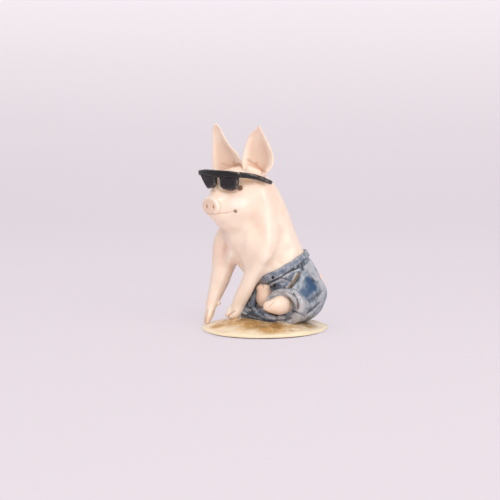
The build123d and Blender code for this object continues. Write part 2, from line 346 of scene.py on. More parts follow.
def noiseNode(tree, scale, detail=4.0, rough=0.55, stretch=None):
    coord = tree.nodes.new("ShaderNodeTexCoord")
    noise = tree.nodes.new("ShaderNodeTexNoise")
    fill(noise, Scale=scale, Detail=detail, Roughness=rough)
    source = coord.outputs["Object"]
    if stretch:
        mapping = tree.nodes.new("ShaderNodeMapping")
        mapping.inputs["Scale"].default_value = stretch
        link(tree, source, mapping.inputs["Vector"])
        source = mapping.outputs["Vector"]
    link(tree, source, noise.inputs["Vector"])
    return noise.outputs["Fac"]


def rangeNode(tree, value, fromLow, fromHigh, toLow=0.0, toHigh=1.0):
    node = tree.nodes.new("ShaderNodeMapRange")
    node.interpolation_type = "SMOOTHSTEP"
    fill(node, From_Min=fromLow, From_Max=fromHigh, To_Min=toLow, To_Max=toHigh)
    link(tree, value, node.inputs["Value"])
    return node.outputs["Result"]


def times(tree, a, b):
    node = tree.nodes.new("ShaderNodeMath")
    node.operation = "MULTIPLY"
    node.use_clamp = True
    for socket, value in zip(node.inputs, (a, b)):
        if isinstance(value, (int, float)):
            socket.default_value = value
        else:
            link(tree, value, socket)
    return node.outputs[0]


def layer(tree, under, over, amount):
    node = tree.nodes.new("ShaderNodeMix")
    node.data_type = "RGBA"
    for socket, value in ((node.inputs[6], under), (node.inputs[7], over)):
        if isinstance(value, tuple):
            socket.default_value = value
        else:
            link(tree, value, socket)
    link(tree, amount, node.inputs[0])
    return node.outputs[2]


# a coat of colour where a mark lies on the surface: paint, painted highlight or painted shade
def coat(tree, under, shade, mark, amount):
    return layer(tree, under, shade, times(tree, markNode(tree, mark), amount))


def bumpFrom(tree, bsdf, height, strength, distance):
    node = tree.nodes.new("ShaderNodeBump")
    fill(node, Strength=strength, Distance=distance)
    link(tree, height, node.inputs["Height"])
    link(tree, node.outputs["Normal"], bsdf.inputs["Normal"])


# Camera at the photograph's angle
view = {}
camera = {
    "azimuth": 75, "elevation": 10, "distance": 456, "focal": 1306, "basePixel": (265, 329.3), "frame": 500,
    "sensor": 36, "depth": 45,
}


def placeCamera():
    az, el = math.radians(camera["azimuth"]), math.radians(camera["elevation"])
    away = np.array([math.sin(az) * math.cos(el), -math.cos(az) * math.cos(el), math.sin(el)])
    eye = away * camera["distance"]
    baseX, baseY = ((p - camera["frame"] / 2) / camera["focal"] for p in camera["basePixel"])
    yaw, pitch = math.atan(baseX), el - math.atan(baseY)
    ahead = np.array([-math.sin(az), math.cos(az), 0.0])
    c, s = math.cos(yaw), math.sin(yaw)
    ahead = np.array([ahead[0] * c - ahead[1] * s, ahead[0] * s + ahead[1] * c, 0.0])
    look = ahead * math.cos(pitch) - np.array([0, 0, math.sin(pitch)])
    right = unit(np.cross(look, [0, 0, 1]))
    up = np.cross(right, look)
    view.update({"eye": eye, "look": look, "right": right, "up": up})
    data = bpy.data.cameras.new("photoCamera")
    data.sensor_width = camera["sensor"]
    data.lens = camera["sensor"] * camera["focal"] / camera["frame"]
    data.clip_start = 0.01
    holder = bpy.data.objects.new("photoCamera", data)
    turn = np.eye(4)
    turn[:3, 0], turn[:3, 1], turn[:3, 2], turn[:3, 3] = right, up, -look, eye * mm
    holder.matrix_world = Matrix(turn.tolist())
    scene.collection.objects.link(holder)
    scene.camera = holder


# places on a block of clay that the camera sees at pixels of the picture
def seen(block, pixels):
    half, focal = camera["frame"] / 2, camera["focal"]
    near, far = camera["distance"] - camera["depth"], camera["distance"] + camera["depth"]
    reach = np.arange(near, far, 0.2)
    high = block["low"] + block["step"] * (block["size"] - 1)
    spots = []
    for px, py in pixels:
        way = view["look"] + view["right"] * (px - half) / focal - view["up"] * (py - half) / focal
        line = view["eye"] + unit(way) * reach[:, None]
        inside = np.all((line > block["low"]) & (line < high), axis=1)
        values = np.where(inside, readField(block, line), farOff)
        hit = np.nonzero(values < 0)[0]
        k = hit[0] if len(hit) else int(np.argmin(values))
        spots.append(line[k])
    return ontoSurface(block, spots, 2)


def pixelsOf(points):
    away = np.asarray(points) - view["eye"]
    scale = camera["focal"] / (away @ view["look"])
    half = camera["frame"] / 2
    x, y = half + scale * (away @ view["right"]), half - scale * (away @ view["up"])
    return np.stack([x, y, 0 * scale], 1)


# brush strokes laid on the side that the camera sees, for paint, painted highlights and painted shade
# a stroke is a path in pixels, its half width and its strength
def painted(points, out, strokes):
    flat = pixelsOf(points)
    total = np.zeros(len(points))
    for path, wide, strength in strokes:
        away = nearLine(flat, [(x, y, 0) for x, y in path])
        total = np.maximum(total, strength * fade(away, wide * 0.35, wide))
    return total * np.clip(0.3 - 4 * (out @ view["look"]), 0, 1)


placeCamera()
print("camera placed")


# Where the head sits and looks
head = {"at": (-7, -6.8, 48.2), "turn": math.radians(30.0)}
ahead = np.array([math.sin(head["turn"]), -math.cos(head["turn"]), 0.0])
leftward = np.array([math.cos(head["turn"]), math.sin(head["turn"]), 0.0])
upward = np.array([0.0, 0.0, 1.0])
headAxes = (leftward, upward, ahead)


def onHead(left, up, forward):
    return np.array(head["at"]) + leftward * left + upward * up + ahead * forward


def mirrored(points):
    away = (np.asarray(points) - np.array(head["at"])) @ leftward
    return np.asarray(points) - 2 * away[:, None] * leftward


# rows are forward, up, half width, half height, as sections across the head
def addLoft(block, rows, blend):
    rows = smoothRows(rows, 8)
    rows = rows[np.argsort(rows[:, 0])]
    c = np.array(head["at"])
    first, last = rows[0, 0], rows[-1, 0]
    ends = [onHead(s, u, f) for s in (10, -10) for u in (-13, 11) for f in (first, last)]

    def distance(x, y, z):
        f = (x - c[0]) * ahead[0] + (y - c[1]) * ahead[1] + 0 * z[:, :, :1]
        side = (x - c[0]) * leftward[0] + (y - c[1]) * leftward[1]
        mid, wide, tall = (np.interp(f, rows[:, 0], rows[:, i]) for i in (1, 2, 3))
        rise = z - c[2] - mid
        d = 0.9 * roundForm((side, wide), (rise, tall))
        past = np.maximum(first - f, f - last)
        return -softMin(-d, -past + 0 * d, 1.6)

    press(block, np.min(ends, 0), np.max(ends, 0), distance, blend)


# Skin: trunk, head and both forelegs in one skin, as cast
# eggs on the head are place, radii and blend; ridges and grooves are pixels, size and depth
skin = {
    "step": 0.27, "box": ((-20.5, -22, 0.4), (12.5, 19.5, 60.5)),
    "blends": {"skull": 4, "fold": 2.2, "leg": 3.2, "toe": 0.45, "dewclaw": 0.4, "lip": 0.3, "crease": 2.2},
    "trunk": [
        (-4.8, 9.8, 16, 9, 9.6), (-5.2, 6.8, 21, 10, 10.2), (-6.2, 2.3, 27.5, 11.6, 10.8),
        (-7, -1.6, 36.7, 12.2, 10.6), (-7, -3.6, 42.6, 11.2, 10.2), (-7, -4.6, 47, 7.2, 7.8),
    ],
    "skull": [
        (-8, -1, 6.2, 6.4), (-4, -0.8, 8.8, 8.7), (0, -1, 9.5, 9.2), (4, -1.7, 9.2, 9.3),
        (8, -2.9, 7.2, 7.8), (12, -4.3, 4.3, 4.6), (15, -4.8, 3.3, 3),
    ],
    "leftLeg": [
        (-0.6, -0.6, 38, 4.2, 2.6), (1.4, -1.4, 33.5, 5.3, 3.5), (2.2, -2.4, 27, 4.4, 3.6),
        (1.1, -4.5, 20.6, 2.75, 2.8), (-0.5, -6.4, 15, 2.6, 2.6), (-2.2, -8, 10.7, 2.5, 2.3),
        (-3.2, -8.9, 8.1, 2.2, 2),
    ],
    "rightLeg": [
        (-12.4, -6.4, 36, 3.8, 2.4), (-14.4, -8.6, 31, 5.6, 3.5), (-14.8, -10.3, 25, 5, 3.6),
        (-14.2, -12, 19, 3.7, 3.2), (-13, -13.9, 13.5, 3, 2.8), (-12.1, -15.6, 9.4, 2.3, 2.1),
        (-11.9, -16.3, 7.6, 2, 1.8),
    ],
    "leftToes": [
        [(-2.7, -8.7, 7.8, 1.8, 1.7), (-2.8, -9.7, 5.7, 1.7, 1.6), (-3.2, -11, 4.7, 1.25, 1.2)],
        [(-4.3, -9.6, 7.6, 1.7, 1.6), (-4.6, -10.9, 6, 1.6, 1.5), (-4.8, -12, 5, 1.15, 1.1)],
    ],
    "rightToes": [
        [(-11.6, -16.4, 7.4, 1.75, 1.6), (-10.2, -17.4, 4.4, 1.5, 1.2), (-9, -18.5, 1.8, 0.75, 0.65)],
        [(-12.4, -16.4, 7.2, 1.6, 1.5), (-11.5, -17.6, 4.2, 1.3, 1.1), (-10.4, -18.8, 1.7, 0.7, 0.6)],
    ],
    "dewclaws": [(-10.9, -13.9, 8.2), (-12.7, -14.1, 8.2), (-2.4, -7.7, 6.6), (-3.8, -8.5, 6.4)],
    "mouth": [(207.2, 213.9), (212, 214.1), (218.4, 213.7), (227, 212.9), (235.2, 211.5)],
    "nostrils": [(206.3, 206.3), (213, 207)],
    "pairs": [
        ((5.4, -5, 4.2), (3.8, 4.2, 4.4), 3), ((4.4, 4.2, 5.4), (2.6, 1.5, 1.8), 2.4),
        ((6.4, 5, -0.2), (2.8, 2.2, 2.8), 1.6), ((7, 1.5, 7.2), (0.8, 0.9, 0.9), 0.15),
    ],
    "middle": [
        ((0, -8.2, 9), (3.4, 2.4, 4), 2.4), ((0, -10.4, 5.2), (4.6, 2.8, 3.6), 3),
        ((0, -4.75, 14.1), (4.25, 3.35, 1.35), 0.35),
    ],
    "dish": ((0, -4.75, 15.75), (3.5, 2.8, 0.5), 0.5),
    "lip": 0.17, "corner": ((0.6, 0.6, 0.6), 0.35), "nostril": (0.5, 0.72, 1.2),
    "dewclaw": (0.7, 0.7, 0.95), "foldSize": 1.2,
    # the spots under the temple arms, behind the lenses, take painted shade
    "disc": (0, -4.75, 15.4), "eye": (7.2, 1.5, 7.3), "shadeUnderTemples": [(7.4, 3.6, 6.4), (8.6, 4.2, 3.4)],
    "earFold": [(6.2, 7.5, 1.9), (7.1, 6.5, 0.7), (8.2, 5.4, -1.8)],
    "ridges": [
        ([(263, 194), (266.5, 208), (269, 224), (269.5, 240), (266, 255)], 3, 2.55),
        ([(232, 252), (228, 264), (223, 278)], 2.4, 2),
    ],
    "grooves": [
        ([(257.5, 226), (256.5, 239), (253, 252), (247.5, 264)], 3.4, 3),
        ([(283.5, 233), (283, 246), (279.5, 256), (272, 266)], 1.7, 1.15),
        ([(288.5, 250), (286.5, 256), (282.5, 261.5)], 1.2, 0.9),
        ([(231, 251.5), (236, 257.5), (239, 264.5)], 2, 1.6),
    ],
    # painted highlights: pale strokes along the lit ridges of the legs, on the cheek, the snout's rim and
    # the toe tips
    "painted_highlight": [
        ([(263, 190), (266.5, 206), (269, 224), (269.5, 242), (265.5, 257), (258.5, 270),
          (251.5, 284), (244, 299), (238, 309)], 2.6, 0.5),
        ([(231.5, 252), (226.5, 267), (220.5, 283), (214.5, 300), (209.5, 315)], 2, 0.6),
        ([(235, 203), (242, 203)], 7, 0.8),
        ([(206.5, 197.8), (211.5, 198.4), (216.2, 201.6), (218.6, 206), (218, 210)], 1.7, 0.9),
        ([(231, 306), (227.5, 314)], 1.6, 0.7), ([(237.5, 312), (232.5, 316.5)], 1.4, 0.7),
        ([(226, 196), (219, 200)], 3, 0.5),
    ],
    # painted shade in the toe clefts
    "toeLines": [
        ([(235, 310.8), (231.8, 313), (228.6, 315.6)], 0.9, 0.7),
        ([(208, 309), (206.6, 316), (205.8, 321)], 0.9, 0.5),
    ],
    "shade": [
        ([(236.5, 266.5), (229, 284), (221.5, 298.5)], 2, 0.45), ([(239, 262), (239.5, 266)], 1.4, 0.25),
        ([(214, 311), (209.5, 320)], 1.6, 0.5), ([(242, 176.5), (242.8, 181), (242, 185)], 3.2, 0.75),
        ([(246, 178.5), (256, 181.6), (264, 184.8)], 2, 0.5), ([(209, 190.2), (214.5, 191.2)], 1.6, 0.4),
        ([(220.5, 190.8), (228, 192.4), (236, 191.6)], 1.8, 0.5), ([(217.8, 179), (218.2, 189)], 1.8, 0.65),
        ([(226, 165.8), (236, 166.6)], 1.2, 0.35),
    ],
    "jaw": [(219.5, 231), (225, 233.2), (232, 234.4), (240, 234), (247.5, 231.5), (253.5, 227)],
    "jawLine": {"size": 1.5, "blend": 2.4, "lift": 1.15},
}


def sculptSkin():
    clay = newBlock(*skin["box"], skin["step"])
    blends = skin["blends"]
    addTube(clay, skin["trunk"], 0.0)
    addLoft(clay, skin["skull"], blends["skull"])
    # cheeks, brows, ear roots, and eyes that lie mostly behind the lenses
    for s in (1, -1):
        for (left, up, forward), radii, blend in skin["pairs"]:
            addEgg(clay, onHead(s * left, up, forward), radii, blend, headAxes)
    # fold before the left ear
    fold = skin["foldSize"]
    addTube(clay, [(*onHead(*spot), fold, fold) for spot in skin["earFold"]], blends["fold"])
    # chin, throat and the snout disc, which is then dished
    for at, radii, blend in skin["middle"]:
        addEgg(clay, onHead(*at), radii, blend, headAxes)
    at, radii, blend = skin["dish"]
    addEgg(clay, onHead(*at), radii, blend, headAxes, cutting=True)
    # forelegs
    for leg, toes in (("leftLeg", "leftToes"), ("rightLeg", "rightToes")):
        addTube(clay, skin[leg], blends["leg"])
        for toe in skin[toes]:
            addTube(clay, toe, blends["toe"])
    for claw in skin["dewclaws"]:
        addEgg(clay, claw, skin["dewclaw"], blends["dewclaw"])
    lines = {"mouth": [], "nostrils": []}
    grin = seen(clay, skin["mouth"])
    for path in (grin, ontoSurface(clay, mirrored(grin))):
        addLine(clay, path, skin["lip"], blends["lip"], cutting=True)
        addEgg(clay, path[-1], *skin["corner"], cutting=True)
        lines["mouth"].append(path)
    for spot in seen(clay, skin["nostrils"]):
        addEgg(clay, spot, skin["nostril"], blends["lip"], headAxes, cutting=True)
        lines["nostrils"].append(spot)
    addLine(clay, seen(clay, skin["jaw"]), **skin["jawLine"], cutting=True)
    for kind, side in (("ridges", -1), ("grooves", 1)):
        for pixels, size, depth in skin[kind]:
            path = seen(clay, pixels)
            addLine(clay, path, size, blends["crease"], lift=side * depth, cutting=kind == "grooves")
    return clay, lines


# Ears: cupped leaves, rows are along, edge towards the right, edge towards the left
leftEar = {
    "root": (7.3, 6.1, 0.2), "tip": (7.9, 22, -1.2), "turn": 25, "cup": 2.7, "thick": 1.25, "curl": 1,
    "tint": 0.85,
    # painted shade where the ear meets the head
    "creases": [
        ([(248, 159.5), (252, 162.5), (257, 166)], 1.7, 0.6),
        ([(257, 166), (261, 169.5), (265.5, 172)], 1.6, 0.8), ([(256, 163), (257.4, 166.4)], 1.6, 0.8),
    ],
    "rows": [
        (-1.6, -1.8, 2), (0.7, -3.9, 4.6), (3, -4.9, 6.1), (5, -5.05, 6.25), (7, -4.9, 5.8),
        (9, -4.5, 4.85), (11.3, -3.9, 3.4), (13.2, -3.1, 2.1), (14.4, -1.9, 1.3), (15.1, -0.8, 0.8),
        (15.9, -0.3, 0.5), (16.3, -0.1, 0.35),
    ],
}
rightEar = {
    "root": (-5.6, 6.2, 0.2), "tip": (-8.4, 22.5, 2.4), "turn": 20, "cup": 2.4, "thick": 1.25, "curl": 0.8,
    # less blush inside the far ear, so that it reads lighter in its shade: painted light
    "tint": 0.6,
    # painted shade where the ear meets the head
    "creases": [
        ([(222.5, 163.5), (228.5, 165.8), (235, 165)], 1.7, 0.5),
        ([(234, 165.2), (239, 164.6), (243, 167.4)], 1.9, 0.8), ([(233.5, 161.5), (235.5, 166)], 1.4, 0.5),
        ([(238.5, 163.5), (242.5, 167)], 1.7, 0.7),
    ],
    "rows": [
        (-1.6, -4.4, 5), (1.4, -5.5, 5.9), (3.5, -5.7, 5.4), (5.7, -5.35, 4.5), (8.7, -4.7, 2.4),
        (11.4, -4, 1.2), (13.8, -3.4, 0.5), (15.6, -2.75, 0.2), (16.8, -1.9, -0.3), (17.2, -1.4, -0.6),
    ],
}


def shapeEar(ear, across=30, pieces=6):
    root, tip = onHead(*ear["root"]), onHead(*ear["tip"])
    axis = unit(tip - root)
    turn = math.radians(ear["turn"])
    facing = ahead * math.cos(turn) + leftward * math.sin(turn)
    facing = unit(facing - axis * (facing @ axis))
    side = np.cross(facing, axis)
    side = side if side @ leftward > 0 else -side
    rows = smoothRows(ear["rows"], pieces)
    t = np.sin(np.linspace(-0.5, 0.5, across) * math.pi)
    long = rows[-1, 0]
    middle = np.zeros((len(rows), across, 3))
    for i, (a, low, high) in enumerate(rows):
        share = np.clip(a / long, 0, 1)
        swell = math.sin(math.pi * min(1, 0.25 + share * 0.75))
        cup = ear["cup"] * (0.45 + 0.55 * swell) * (1 - 0.55 * share)
        bend = ear["curl"] * max(0, share - 0.72) ** 2 / 0.08
        lean = -0.9 * math.sin(math.pi * share)
        depth = cup * (t * t - 0.5) + bend + lean
        sideways = (low + high) / 2 + (high - low) / 2 * t
        middle[i] = root + axis * a + side * sideways[:, None] + facing * depth[:, None]
    du, dv = np.gradient(middle, axis=0), np.gradient(middle, axis=1)
    normal = np.cross(du, dv)
    normal /= np.linalg.norm(normal, axis=2, keepdims=True) + 1e-9
    if (normal * facing).sum() < 0:
        normal = -normal
    share = np.clip(rows[:, 0] / long, 0, 1)
    thick = ear["thick"] * (1.15 - 0.65 * share)[:, None] * np.sqrt(1 - np.abs(t) ** 6 * 0.93)[None, :]
    front = middle + normal * thick[:, :, None] / 2
    back = middle - normal * thick[:, :, None] / 2
    loops = np.concatenate([front, back[:, ::-1]], axis=1)
    n, m = loops.shape[:2]
    points, faces = capped(loops), ringFaces(n, m, inward=True)
    hollow = np.tile(fade(np.abs(t), 0.55, 0.95), (n, 1))
    inside = np.concatenate([hollow, np.zeros((n, m - across))], axis=1)
    inside = inside * fade(share, 0.45, 1.0)[:, None]
    # the low inside of each ear is browner: painted shade
    low = np.tile(fade(share, 0.02, 0.3)[:, None], (1, m))
    inside, low = np.append(inside.ravel(), [0, 0]), np.append((inside * low).ravel(), [0, 0])
    toward = np.concatenate([normal, -normal[:, ::-1]], axis=1).reshape(-1, 3)
    toward = np.vstack([toward, -axis, axis])
    creases = painted(points, toward, ear["creases"])
    return points, faces, {"blush": inside * ear["tint"], "crease": np.maximum(low * 0.35, creases)}


# Jeans: hips and thighs, cut off square to the waist
jeans = {
    "step": 0.26, "box": ((-21, -9.5, 0.8), (15.5, 25, 33)),
    "hipStep": 0.5, "hipBox": ((-21, -8, 8), (12, 25, 36)),
    "legBlend": 2.4, "seatBlend": 3, "foldBlend": 1.4,
    "hips": [
        (-3.8, 9, 2.2, 4.6, 9), (-4.2, 10.6, 7.5, 7.5, 10.6), (-4.5, 11.7, 13.5, 9.8, 11.9),
        (-5.2, 6.9, 20.6, 10.7, 11.1), (-6, 2.4, 27.4, 11.4, 11.2),
    ],
    "leftThigh": [
        (0.4, 15, 11, 5.6, 5.6), (2.8, 12.8, 11, 7.8, 7.8), (4.6, 9.8, 10.2, 7.4, 7.4),
        (6.6, 6.4, 9.4, 5.7, 5.7),
    ],
    "rightThigh": [
        (-9.4, 14.4, 10.6, 5.4, 5.4), (-11, 11, 10.6, 7.6, 7.6), (-8.2, 5.8, 10.2, 7.2, 7.2),
        (-4.2, 1.6, 9.4, 6.3, 6.3),
    ],
    "seat": [(2, 17.8, 12.6, 3.2, 3.4), (-4.5, 18.4, 12.8, 3.4, 4), (-10.5, 17.2, 12.4, 3.2, 3.4)],
    "hem": [
        (-2.6, -7.3, 5.4, 1, 1.1), (-1.2, -5.6, 5.6, 1.9, 1.9), (1.3, -3.2, 5.4, 2.7, 2.6),
        (4.8, 0.4, 4.8, 2.7, 2.7),
    ],
    "fold": [
        (-3.4, -2.2, 14.2, 1.3, 1.6), (-3.3, -3.4, 11, 2, 2.2), (-3.3, -4.6, 8.2, 2.2, 2.4),
        (-3, -6, 5.8, 1.6, 1.7),
    ],
    "waist": (-5.2, 7.2, 19.9), "lean": 30.5, "roll": 5,
    "crease": {"size": 0.75, "blend": 0.9, "lift": 0.3},
    "ridge": {"size": 0.6, "blend": 1.2, "lift": -0.25},
    "slitOut": 0.05, "slitLine": {"size": 0.6, "blend": 0.3},
    "lip": (0, 0.75, 0.1), "lipLine": {"size": 0.42, "blend": 0.5},
    "slit": [(299.5, 273.5), (297, 279), (293, 284.5), (289, 289)],
    "creases": [
        [(286, 290.5), (293, 294), (297.5, 300), (298, 307)], [(306, 303), (312, 300), (319, 294)],
        [(307, 313), (313, 309.5), (320, 303)], [(270, 287), (276, 289), (283, 289.5)],
        [(318, 270), (314, 276), (313, 281)],
    ],
    "ridges": [
        [(300, 297), (303.5, 303), (304, 310)], [(282, 278), (287, 275.5), (292, 273)],
        [(310, 305.5), (316, 301.5), (322, 296)],
    ],
}
lean, roll = math.radians(jeans["lean"]), math.radians(jeans["roll"])
waistAt = np.array(jeans["waist"])
waistUp = np.array([-math.sin(roll), -math.sin(lean) * math.cos(roll), math.cos(lean) * math.cos(roll)])
waistLeft = unit(np.array([1.0, 0, 0]) - waistUp * waistUp[0])
waistBack = np.cross(waistUp, waistLeft)


def roundWaist(block, angle, rise):
    turn = math.radians(angle)
    out = waistLeft * math.cos(turn) + waistBack * math.sin(turn)
    reach = np.arange(4.0, 16.0, 0.1)
    line = waistAt + waistUp * rise + out * reach[:, None]
    values = readField(block, line)
    last = np.nonzero(values < 0)[0].max()
    share = values[last] / (values[last] - values[last + 1])
    return line[last] + out * 0.1 * share, out


# Rolled cuffs: two rolls of cloth round the end of each thigh
# rolls are place along the leg, ring radius, roll radius
cuffs = {
    "step": 0.26, "reach": 9.5,
    "left": {
        "end": (6.8, 5.8, 9), "way": (0.70, -0.70, -0.10), "flat": (1.12, 0.93),
        "rolls": [(0.5, 5.25, 1.55), (-1.4, 5.6, 1.45)], "wobble": 0.2, "start": 0.4,
    },
    "right": {
        "end": (-2.4, 1.4, 10.6), "way": (0.88, -0.46, 0.05), "flat": (0.95, 1.08),
        "rolls": [(0.4, 4, 1.25), (-1.2, 4.4, 1.3)], "wobble": 0.18, "start": 2.1,
    },
}


def sculptJeans():
    clay = newBlock(*jeans["box"], jeans["step"])
    addTube(clay, jeans["hips"], 0.0)
    for cuff, thigh in ((cuffs["left"], jeans["leftThigh"]), (cuffs["right"], jeans["rightThigh"])):
        end, way = np.array(cuff["end"]), unit(cuff["way"])
        leg = dict(clay, field=np.full(clay["size"], farOff, np.float32))
        addTube(leg, thigh, 0.0)
        past = lambda x, y, z: -0.4 - dot(x - end[0], y - end[1], z - end[2], way)
        press(leg, end - 9, end + 9, past, 0.3, cutting=True)
        clay["field"] = softMin(clay["field"], leg["field"], jeans["legBlend"])
    addTube(clay, jeans["seat"], jeans["seatBlend"])
    for part in ("hem", "fold"):
        addTube(clay, jeans[part], jeans["foldBlend"])
    for pixels in jeans["creases"]:
        addLine(clay, seen(clay, pixels), **jeans["crease"], cutting=True)
    for pixels in jeans["ridges"]:
        addLine(clay, seen(clay, pixels), **jeans["ridge"])
    # front pocket: a lip of cloth before a slit
    slit = seen(clay, jeans["slit"])
    slit = slit + jeans["slitOut"] * slopeOf(clay, slit)
    addLine(clay, slit - np.array(jeans["lip"]), **jeans["lipLine"])
    addLine(clay, slit, **jeans["slitLine"], cutting=True)
    above = lambda x, y, z: 0.3 - dot(x - waistAt[0], y - waistAt[1], z - waistAt[2], waistUp)
    press(clay, *wholeOf(clay), above, 0.4, cutting=True)
    return clay


def sculptCuff(cuff):
    end = np.array(cuff["end"])
    axis = unit(cuff["way"])
    side = unit(np.cross(axis, upward))
    rise = np.cross(side, axis)
    reach = cuffs["reach"]
    clay = newBlock(end - reach, end + reach, cuffs["step"])
    for along, ring, thick in cuff["rolls"]:
        def distance(x, y, z):
            p = (x - end[0], y - end[1], z - end[2])
            h, s, r = (dot(*p, v) for v in (axis, side, rise))
            s, r = s / cuff["flat"][0], r / cuff["flat"][1]
            turn = np.arctan2(r, s)
            wave = np.sin(3 * turn + cuff["start"]) + 0.6 * np.sin(7 * turn + 2.3 * cuff["start"] + along)
            away = np.sqrt(s * s + r * r) - ring - cuff["wobble"] * wave
            roll = thick * (1 + 0.06 * np.sin(5 * turn + along))
            return np.sqrt(away * away + (h - along - 0.2 * wave) ** 2) - roll
        press(clay, end - reach, end + reach, distance, 0.55)
    return clay


# Hind feet: rows are x, y, z, half height, half width; clefts are pixels, size and darkness, the darkness a
# painted shade
feet = {
    "step": 0.2, "room": 5.5, "nail": ((1.2, 1.2, 1), 2), "cleftBlend": 0.4,
    "left": {
        "rows": [
            (5, 7.2, 9.7, 2.9, 2.7), (7.2, 4.2, 9.6, 3.3, 3.1), (8.5, 2.2, 9.5, 3, 3),
            (9.3, 0.7, 9.5, 2.1, 2.3),
        ],
        "across": (0.8, 0.6, 0), "blush": 0.25, "stain_and_shade": 0,
        "clefts": [([(268.6, 307.6), (271, 304.6), (274.4, 301.8)], 0.2, 0.2)],
        "nails": [(267.6, 305), (267.4, 308.6)],
        # painted shadow under the toe, where the foot meets the cuff
        "dark": [([(264.5, 311.2), (269.5, 313.6), (276, 315.8)], 1.7, 0.95)],
        # painted shade along the foot's edge by the cuff
        "ochre": [([(289.5, 298), (290.5, 304), (289, 310)], 1.2, 0.4)],
    },
    "right": {
        "rows": [
            (-6, 3.4, 10.6, 4.2, 3.2), (-3, 1.6, 11, 4.8, 3.5), (-0.8, 0.4, 11.5, 4.6, 3.3),
            (0.7, -0.4, 11.9, 3.4, 2.4),
        ],
        # the far foot, deeper in its cuff, gets more blush and an all-over ochre: painted shade
        "across": (0.45, 0.89, 0), "blush": 0.55, "stain_and_shade": 0.15,
        "clefts": [([(263, 284.5), (263.2, 286.5), (262.6, 288)], 0.14, 0.25)],
        # a darker cleft on top: painted shade
        "nails": [(260.6, 287.6), (266, 286.8)], "dark": [([(262.5, 284.6), (263.5, 287.6)], 0.7, 0.4)],
        # painted shade on the far foot's right edge and low in its cuff
        "ochre": [([(270.5, 288.5), (271, 297)], 2, 0.7), ([(256.5, 300), (260.5, 307)], 2.4, 0.35)],
    },
}


def sculptFoot(foot):
    rows = np.array(foot["rows"])
    clay = newBlock(rows[:, :3].min(0) - feet["room"], rows[:, :3].max(0) + feet["room"], feet["step"])
    addTube(clay, rows, 0.0, across=foot["across"])
    for spot in seen(clay, foot["nails"]):
        addEgg(clay, spot, *feet["nail"])
    grooves = []
    for pixels, size, dark in foot["clefts"]:
        path = seen(clay, pixels)
        addLine(clay, path, size, feet["cleftBlend"], cutting=True)
        grooves.append((path, size, dark))
    return clay, grooves


# Sunglasses: outlines on a shell bent round a standing axis; points are round the bend, up
# plates are how far inside the outline, depth of the middle, thickness and roundness
glasses = {
    "step": 0.17, "forward": 11.5, "wrap": 35,
    "box": ((-11.5, 11.5), (-0.8, 8.6), (-7, 13)),
    "barPlate": (0, 0.1, 1.7, 0.45), "rimPlate": (0, 0, 1.35, 0.35), "wellPlate": (0.75, 0.75, 0.9, 0.2),
    "lensPlate": (0.7, 0.22, 0.7, 0.3),
    "bar": [
        (-10.2, 6.9), (-6, 7.5), (-1.4, 7.5), (2.6, 7.4), (6.1, 7.4), (10.3, 6.9), (10.4, 5.2), (6, 4.9),
        (-6, 4.9), (-9.6, 5.5),
    ],
    "rightLens": [
        (-9.9, 6.4), (-7.4, 3.6), (-5.1, 1.35), (-4.2, 0.85), (-1.9, 1.3), (-0.25, 2.4), (-0.05, 6),
    ],
    "leftLens": [(1.6, 6), (2, 1.9), (3.45, 1.1), (5.2, 0.6), (6.9, 0.6), (8.5, 1.05), (9.35, 2), (9.7, 6)],
    "arm": [
        (9.9, 6.15, 10.2, 1.02), (10.5, 5.4, 4.5, 0.95), (10.3, 4.2, -0.5, 0.86), (9.3, 2.9, -5.4, 0.72),
    ],
    "armWide": 0.6,
    # painted glints along the top edges of the bar and arms, with a few scuffs
    "glints_and_scuffs": [
        ([(228, 170.9), (238, 171.6), (248, 173.6), (258, 176.6), (268, 181.2)], 0.8, 0.9),
        ([(254, 180.2), (262, 182.6), (268, 185)], 0.7, 0.7), ([(202, 169.6), (216, 169.9)], 0.7, 0.6),
    ],
}


def polygonDistance(u, v, outline):
    outline = np.array(outline, float)
    best = 1e9
    sign = 1.0
    for (ax, ay), (bx, by) in zip(outline, np.roll(outline, -1, 0)):
        ex, ey = bx - ax, by - ay
        wx, wy = u - ax, v - ay
        t = np.clip((wx * ex + wy * ey) / (ex * ex + ey * ey), 0, 1)
        best = np.minimum(best, (wx - ex * t) ** 2 + (wy - ey * t) ** 2)
        above, below = v >= ay, v < by
        turn = ex * wy > ey * wx
        sign = np.where((above & below & turn) | (~above & ~below & ~turn), -sign, sign)
    return sign * np.sqrt(best)


def bent(x, y, z):
    c = onHead(0, 0, glasses["forward"] - glasses["wrap"])
    px, py = x - c[0], y - c[1]
    side, deep = px * leftward[0] + py * leftward[1], px * ahead[0] + py * ahead[1]
    away = np.sqrt(side * side + deep * deep)
    return np.arctan2(side, deep) * glasses["wrap"], z - head["at"][2], away - glasses["wrap"]


